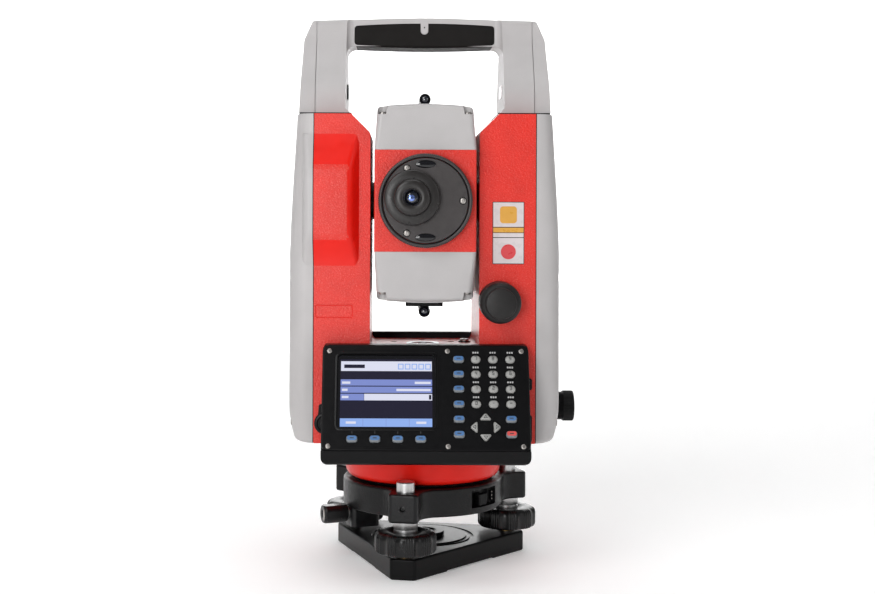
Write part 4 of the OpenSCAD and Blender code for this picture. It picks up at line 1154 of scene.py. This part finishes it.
def relief_and_marks():
    """Raised lines on the bezel: round the screen, over the soft keys and above the number keys."""
    border, line = 1.6, 0.25
    wx, wv, ww, wh = WINDOW
    outer = arc_points(centred(ww + 2 * border, wh + 2 * border, 3.6))
    inner = arc_points(centred(ww, wh, 2.5))
    levels = [(outer, 1, -0.2), (outer, 1, 0.25), (outer, 0.994, 0.42), (inner, 1.004, 0.42), (inner, 1, 0.1),
              (inner, 1, -1.2)]
    rim = skin([[(*(p * k), h) for p in loop] for loop, k, h in levels], BLACK_PLASTIC, "screen_rim", False)
    place(on_face(rim, wx, wv), "alidade", "black_plastic", angle=60, weighted=False)
    face_marks("soft_key_ticks", "black_plastic", INK, [(x, v + 4.3, 0.45, 1.9, 0.1, 0.08) for x, v in SOFT_KEYS])
    x1, low, high = 9.3, 3.6, 61.8
    face_marks("bezel_lines", "black_plastic", BLACK_PLASTIC, [
        (x1, (low + high) / 2, line, high - low - 5, line / 3, 0.12),
        (x1 - 31.5, low - 1.2, 55, line, line / 3, 0.12)])
    face_marks("key_legend_dots", "grey_keys", PALE_INK, [
        (x + 1.35 * k - 0.1, v + 4.35, 0.95, 1.05, 0.25, 0.05)
        for node, kind, x, v, turn, mark in key_list() if kind == "round" for k in (-1, 0, 1)])


def screen():
    """Lit screen behind its glass, with plain generic fields."""
    wx, wv, ww, wh = WINDOW
    back = prism(centred(ww - 0.1, wh - 0.1, 2.4), -2.6, -1.25, "z", SCREEN_BORDER, "screen_glass_body")
    soften(back, 0.15, 2)
    place(on_face(back, wx, wv), "alidade", "screen_glass", "display_window")
    x0, x1 = wx - ww / 2 + 1.8, wx + ww / 2 - 2.0
    v0, v1 = wv - wh / 2 + 1.1, wv + wh / 2 - 2.7
    fields = [                                        # left, low, right, high, material, layer
        (x0, v0, x1, v1, SCREEN_DARK, 0),
        (x0 + 0.3, v1 - 7.2, x1 - 0.2, v1 - 1.2, SCREEN_WHITE, 1),
        (x0 + 0.2, v1 - 16.2, x1 - 0.1, v1 - 12.4, SCREEN_BLUE, 1),
        (x0 + 0.2, v1 - 20.6, x1 - 0.1, v1 - 16.8, SCREEN_BLUE, 1),
        (x0 + 0.2, v1 - 25.2, x0 + 14.2, v1 - 21.2, SCREEN_BLUE, 1),
        (x0 + 14.4, v1 - 25.2, x1 - 0.1, v1 - 21.2, SCREEN_WHITE, 1),
        (x0 + 0.1, v0 + 0.2, x1 - 0.1, v0 + 5.2, SCREEN_LIGHT, 1),
        (x0 + 2.2, v1 - 5.4, x0 + 14.6, v1 - 3.2, SCREEN_DARK, 2),
        (x1 - 2.0, v1 - 24.6, x1 - 0.6, v1 - 21.8, SCREEN_DARK, 2),
    ]
    for i in range(5):
        x = x1 - 20.6 + 4.1 * i
        fields.append((x, v1 - 6.2, x + 3.4, v1 - 2.6, SCREEN_LIGHT, 2))
        fields.append((x + 0.6, v1 - 5.6, x + 2.8, v1 - 3.2, SCREEN_WHITE, 3))
    for i in range(3):
        x = x0 + (x1 - x0) * (i + 1) / 4
        fields.append((x - 0.12, v0 + 0.4, x + 0.12, v0 + 5.0, SCREEN_BLUE, 2))
    foot = v1 - v0 - 3.7
    for x, drop, width in ((x0 + 1, 13.4, 5), (x0 + 1, 17.8, 3.4), (x0 + 1, 22.2, 4), (x1 - 10.5, 13.4, 9.6),
                           (x1 - 21.5, 17.8, 20.6), (x0 + 3.6, foot, 6), (x1 - 9.6, foot, 6)):
        fields.append((x, v1 - drop - 1.7, x + width, v1 - drop - 0.3, SCREEN_WHITE, 2))
    base, step = -1.24, 0.02
    layers = [on_face(prism(rect(*sides), base - 0.1, base + step * (level + 1), "z", mat))
              for *sides, mat, level in fields]
    place(merge("screen_fields", layers), "alidade", "screen_glass", weighted=False)


def rear_display():
    """The second display's housing, seen from behind: a plain face with a dark window."""
    wx, wv, ww, wh = WINDOW
    body = display_block("rear_display_body", FACE_L - 2.4, 0, mirrored=True)
    soften(body, 1.0, 3, keep=lambda p: p.y < -FRONT + 1)
    cut(body, on_face(prism(centred(ww, wh - 4, 2.5), -1.4, 5), -wx, wv - 2, mirrored=True))
    place(body, "alidade", "black_plastic", "rear_display", angle=40)
    glass = prism(centred(ww - 0.3, wh - 4.3, 2.4), -1.35, -0.5, "z", SCREEN_BORDER, "rear_screen_glass")
    soften(glass, 0.15, 2)
    place(on_face(glass, -wx, wv - 2, mirrored=True), "alidade", "screen_glass")
    face_screws("rear_screw", (-58, 0, 58), (2.9, 58.6), 1.75, True)


# ---- telescope ----

def telescope_body():
    half, long, axis = 31, 62, (0, 0, TRUNNION)
    ocular_x, ocular_z, oval_z = OCULAR.mid[0], OCULAR.mid[2], 22
    body = prism(rect(-half, -long, half, long, 1.0), TRUNNION - half, TRUNNION + half, "z",
                 [RED, RED_SMOOTH, BLACK_KNOB], "telescope_band", 5)
    soften(body, 0.35, 2, angle=60)
    join(body, lathe([(0, 60), (28, 60), (28, 79.2), (27.2, 80), (0, 80)], axis, TO_BACK),
         lathe([(0, 60), (25.6, 60), (25.6, 70), (0, 70)], axis, TO_FRONT), material=BLACK_KNOB)
    cut(body, cylinder((0, -52, TRUNNION), TO_BACK, 15, 140),
        lathe([(0, 67.8), (22.1, 67.8), (22.1, 77), (24.5, 81), (0, 81)], axis, TO_BACK),
        cylinder((ocular_x, -75, ocular_z), TO_BACK, 9.2, 30), material=BLACK_KNOB)
    paint(body, 2, lambda c, n: abs(c.y) > long + 0.05)
    place(body, "telescope", "red_paint", "telescope_body", angle=40)
    plate = lathe([(0, 0), (25.5, 0), (25.5, 1.2), (25.2, 1.5), (0, 1.5)], (0, -69.9, TRUNNION), TO_FRONT, GUNMETAL,
                  "eyepiece_plate", 128)
    cut(plate, cylinder((ocular_x, -60, ocular_z), TO_FRONT, 9.2, 14),
        *[oval((0, -71.4, TRUNNION + s * oval_z), 6.2, 2.4, [(-1.3, 1), (1.3, 1)]) for s in (-1, 1)])
    soften(plate, 0.25, 2, angle=50)
    place(plate, "telescope", "black_knobs", angle=40)
    for name, s in (("low", -1), ("top", 1)):
        pool = oval((0, -71.0, TRUNNION + s * oval_z), 6.1, 2.3,
                    [(-0.7, 1), (0, 1), (0.125, 0.93), (0.3, 0.7), (0.45, 0.35)], SCREEN_BORDER, "oval_cap_" + name)
        place(pool, "telescope", "black_knobs", weighted=False, angle=60)
    for k in range(3):
        t = math.tau * k / 3
        cross_screw(f"plate_screw_{k}", (22.5 * math.cos(t), -71.4, TRUNNION + 22.5 * math.sin(t)), TO_FRONT, 1.75,
                    "telescope", height=0.55)


def oval(centre, a, b, levels, materials=(), name="tool"):
    """Elliptic plug through the levels (distance to the front, share of its size)."""
    x, y, z = centre
    turns = [math.tau * i / 48 for i in range(48)]
    return skin([[(x + a * k * math.cos(t), y - out, z + b * k * math.sin(t)) for t in turns] for out, k in levels],
                materials, name)


def scope_covers():
    band, round_r, crown, well_x, well_y = 31, 2.2, 2.0, 25.9, 55.8
    straight, bend = 12, 8                            # outlines up the side and round the edge
    for s, node, span in ((1, "telescope_top_cover", SCOPE_TOP), (-1, "telescope_bottom_cover", SCOPE_LOW)):
        top = max(span.z1 - TRUNNION, TRUNNION - span.z0)
        edge = top - crown - round_r
        levels = [(band + (edge - band) * k / (straight - 1), 0.0) for k in range(straight)]
        levels += [(edge + round_r * math.sin(t), round_r * (1 - math.cos(t))) for t in
                   (math.pi / 2 * k / bend for k in range(1, bend + 1))]
        rings = []
        for h, sink in levels:
            up = (h - band) / (top - band)
            hx, hy = band - 0.05 - 1.7 * up - sink, 61.95 - 5.0 * up - sink
            corner = max(1.2, 2.2 + 2.3 * up - 0.5 * sink)
            lift = crown * max(0, (up - 0.55) / 0.45) ** 2
            outline = [(-hx, -hy, corner), (0, -hy, 0), (hx, -hy, corner), (hx, hy, corner), (0, hy, 0),
                       (-hx, hy, corner)]
            rings.append([(p.x, p.y, TRUNNION + s * (h + lift * (1 - (p.x / band) ** 2))) for p in
                          arc_points(outline)])
        last = rings[-1]
        for k in (0.85, 0.6, 0.3):
            rings.append([(x * k, y, TRUNNION + s * (top - crown * (x * k / band) ** 2)) for x, y, z in last])
        cover = skin(rings, GREY, node + "_shell")
        low, high = sorted((TRUNNION + s * (band - 1), TRUNNION + s * (top - 5)))
        cut(cover, prism(rect(-21, -56, 21, 56, 2), low, high))
        floor = top - crown - 4.5
        wells = [(i, j, x, y) for i, x in enumerate((-well_x, well_x)) for j, y in enumerate((-well_y, well_y))]
        for i, j, x, y in wells:
            cut(cover, lathe([(0, 0), (3.0, 0), (3.3, 9), (0, 9)], (x, y, TRUNNION + s * floor), (0, 0, s), steps=32))
        soften(cover, 0.3, 2, angle=50)
        place(cover, "telescope", "grey_shell", node, angle=42)
        for i, j, x, y in wells:
            cross_screw(f"{node}_screw_{i}{j}", (x, y, TRUNNION + s * (floor + 0.2)), (0, 0, s), 2.2, "telescope",
                        ring=False, height=1.2)


def focus_and_ocular():
    length = FOCUS.y1 - FOCUS.y0
    turned_piece("focus_knurl", "focus", "black_knobs", GUNMETAL, [
        (26.0, 0), (28.0, 0), (28.45, 0.3), (28.6, 0.8), (28.6, length - 1.5), (28.35, length - 0.7),
        (27.8, length - 0.2), (27.2, length), (26.5, length - 0.15), (26.0, length - 0.7)],
        (0, FOCUS.y1, TRUNNION), TO_FRONT, "focus_ring", 720, 50, ribs(150, 0.35, 28.2, -1, length + 1))
    x, y, z = OCULAR.mid[0], SCOPE.y0, OCULAR.mid[2]
    turned_piece("ocular_cup", "ocular", "black_knobs", OCULAR_BLACK, [
        (8.9, -12.8), (8.9, 0.35), (16.0, 0.35), (16.5, 0.6), (16.7, 1.1), (16.7, 4.9), (16.4, 5.6), (15.8, 6.0),
        (11.5, 6.15), (11.1, 6.1), (10.95, 6.5), (10.8, 10.9), (10.5, 11.7), (9.8, 12.2), (8.0, 12.5), (6.4, 12.6),
        (5.5, 12.3), (4.9, 11.2), (4.5, 9.6), (4.3, 9.0), (4.3, -12.8)], (x, y, z), TO_FRONT, "eyepiece", 128, 45)
    turned_piece("ocular_lens", "ocular", "lens_glass", LENS, [
        (0, 7.4), (4.28, 7.4), (4.28, 8.4), (3.6, 8.95), (2.4, 9.4), (1.2, 9.65), (0, 9.7)], (x, y, z), TO_FRONT,
        steps=64, angle=60)
    # small off-centre blue dome on the eyepiece lens: painted reflection
    turned_piece("ocular_painted_reflection", "ocular", "lens_glass", PAINTED_LENS_REFLECTION, [
        (0, 9.5), (1.7, 9.5), (1.9, 9.6), (1.4, 9.78), (0.7, 9.86), (0, 9.88)], (x - 0.3, y, z - 0.2), TO_FRONT,
        steps=48, angle=60)


def objective():
    axis = (0, 0, TRUNNION)
    turned_piece("objective_lens_body", "telescope", "lens_glass", LENS, [
        (0, 68.3), (22.0, 68.3), (22.0, 73.4), (20, 74.2), (15, 75.2), (8, 75.9), (0, 76.1)], axis, TO_BACK,
        "objective_lens", angle=60)
    turned_piece("objective_ring", "telescope", "black_knobs", BLACK_KNOB, [
        (20.6, 74.4), (22.05, 74.0), (22.05, 76.4), (21.6, 76.8), (20.6, 76.6)], axis, TO_BACK)


def sights():
    y0, y1, r = SIGHTS.y0, SIGHTS.y1, 3.6
    top, low = SCOPE_TOP.z1 - TRUNNION, TRUNNION - SCOPE_LOW.z0
    dome = [(2.5 * math.cos(t), 0.1 + 1.6 * math.sin(t)) for t in (math.pi / 12 * k for k in range(6))]
    for name, s, up, cover, half, high in (("sight_top", 1, top + r, top, 2.4, 2.0),
                                           ("sight_low", -1, low + 6.2, low, 11.6, 3.2)):
        z = TRUNNION + s * up
        tube = close_ring(lathe([(2.5, 0.3), (2.9, 0), (3.3, 0.15), (r, 0.8), (r, 66.8), (3.4, 67.6), (3.0, 68),
                                 (2.4, 67.9), (2.4, 64), (2.4, 4), (2.5, 1.5)], (0, y0, z), TO_BACK, BLACK_PLASTIC,
                                steps=64))
        bars = []
        for outline, a, b in ((rect(-half, y0 + 2, half, y1 - 2, 2), cover - 0.4, cover + high),
                              (rect(-2.6, y0 + 6, 2.6, y1 - 6, 1), cover + high - 0.5, up)):
            bars.append(prism(outline, *sorted((TRUNNION + s * a, TRUNNION + s * b)), "z", BLACK_PLASTIC))
        soften(bars[0], 0.4, 2)
        place(merge(name, [tube, *bars]), "telescope", "black_plastic", *(["sights"] if s > 0 else []), angle=40)
        for end, y, out in (("eye", y0, -1), ("far", y1, 1)):
            turned_piece(f"{name}_{end}_glass", "telescope", "lens_glass", LENS, [(0, -1.0), *dome, (0, 1.7)],
                         (0, y - out * 1.4, z), (0, out, 0), steps=48, angle=60)


def inner_parts():
    """Bearing parts that only show through the gaps keep their CAD shape and get metal and glass; the trunnion axle is
    darkened as painted shade for its dark gap.
    """
    # the trunnion axle gets the dark anodised finish as painted shade: it only shows in the gap between telescope and
    # standards
    for node, mat in (("vertical_axle", STEEL), ("trunnion_axle", GUNMETAL), ("horizontal_circle", SCREEN_BORDER),
                      ("vertical_circle", SCREEN_BORDER)):
        mesh = frame["nodes"][node].data
        mesh.materials.clear()
        mesh.materials.append(mat)


set_view()
set_light()
sweep_floor()
base_plate()
for screw in SCREW_TURNS.items():
    foot_screw(*screw)
tribrach_head()
lock_knob()
flange()
bowl()
yoke_frame()
side_covers()
battery()
handle()
platform_bits()
drives()
label()
port_caps()
display()
for key in key_list():
    key_cap(*key)
rear_display()
telescope_body()
scope_covers()
focus_and_ocular()
objective()
sights()
inner_parts()
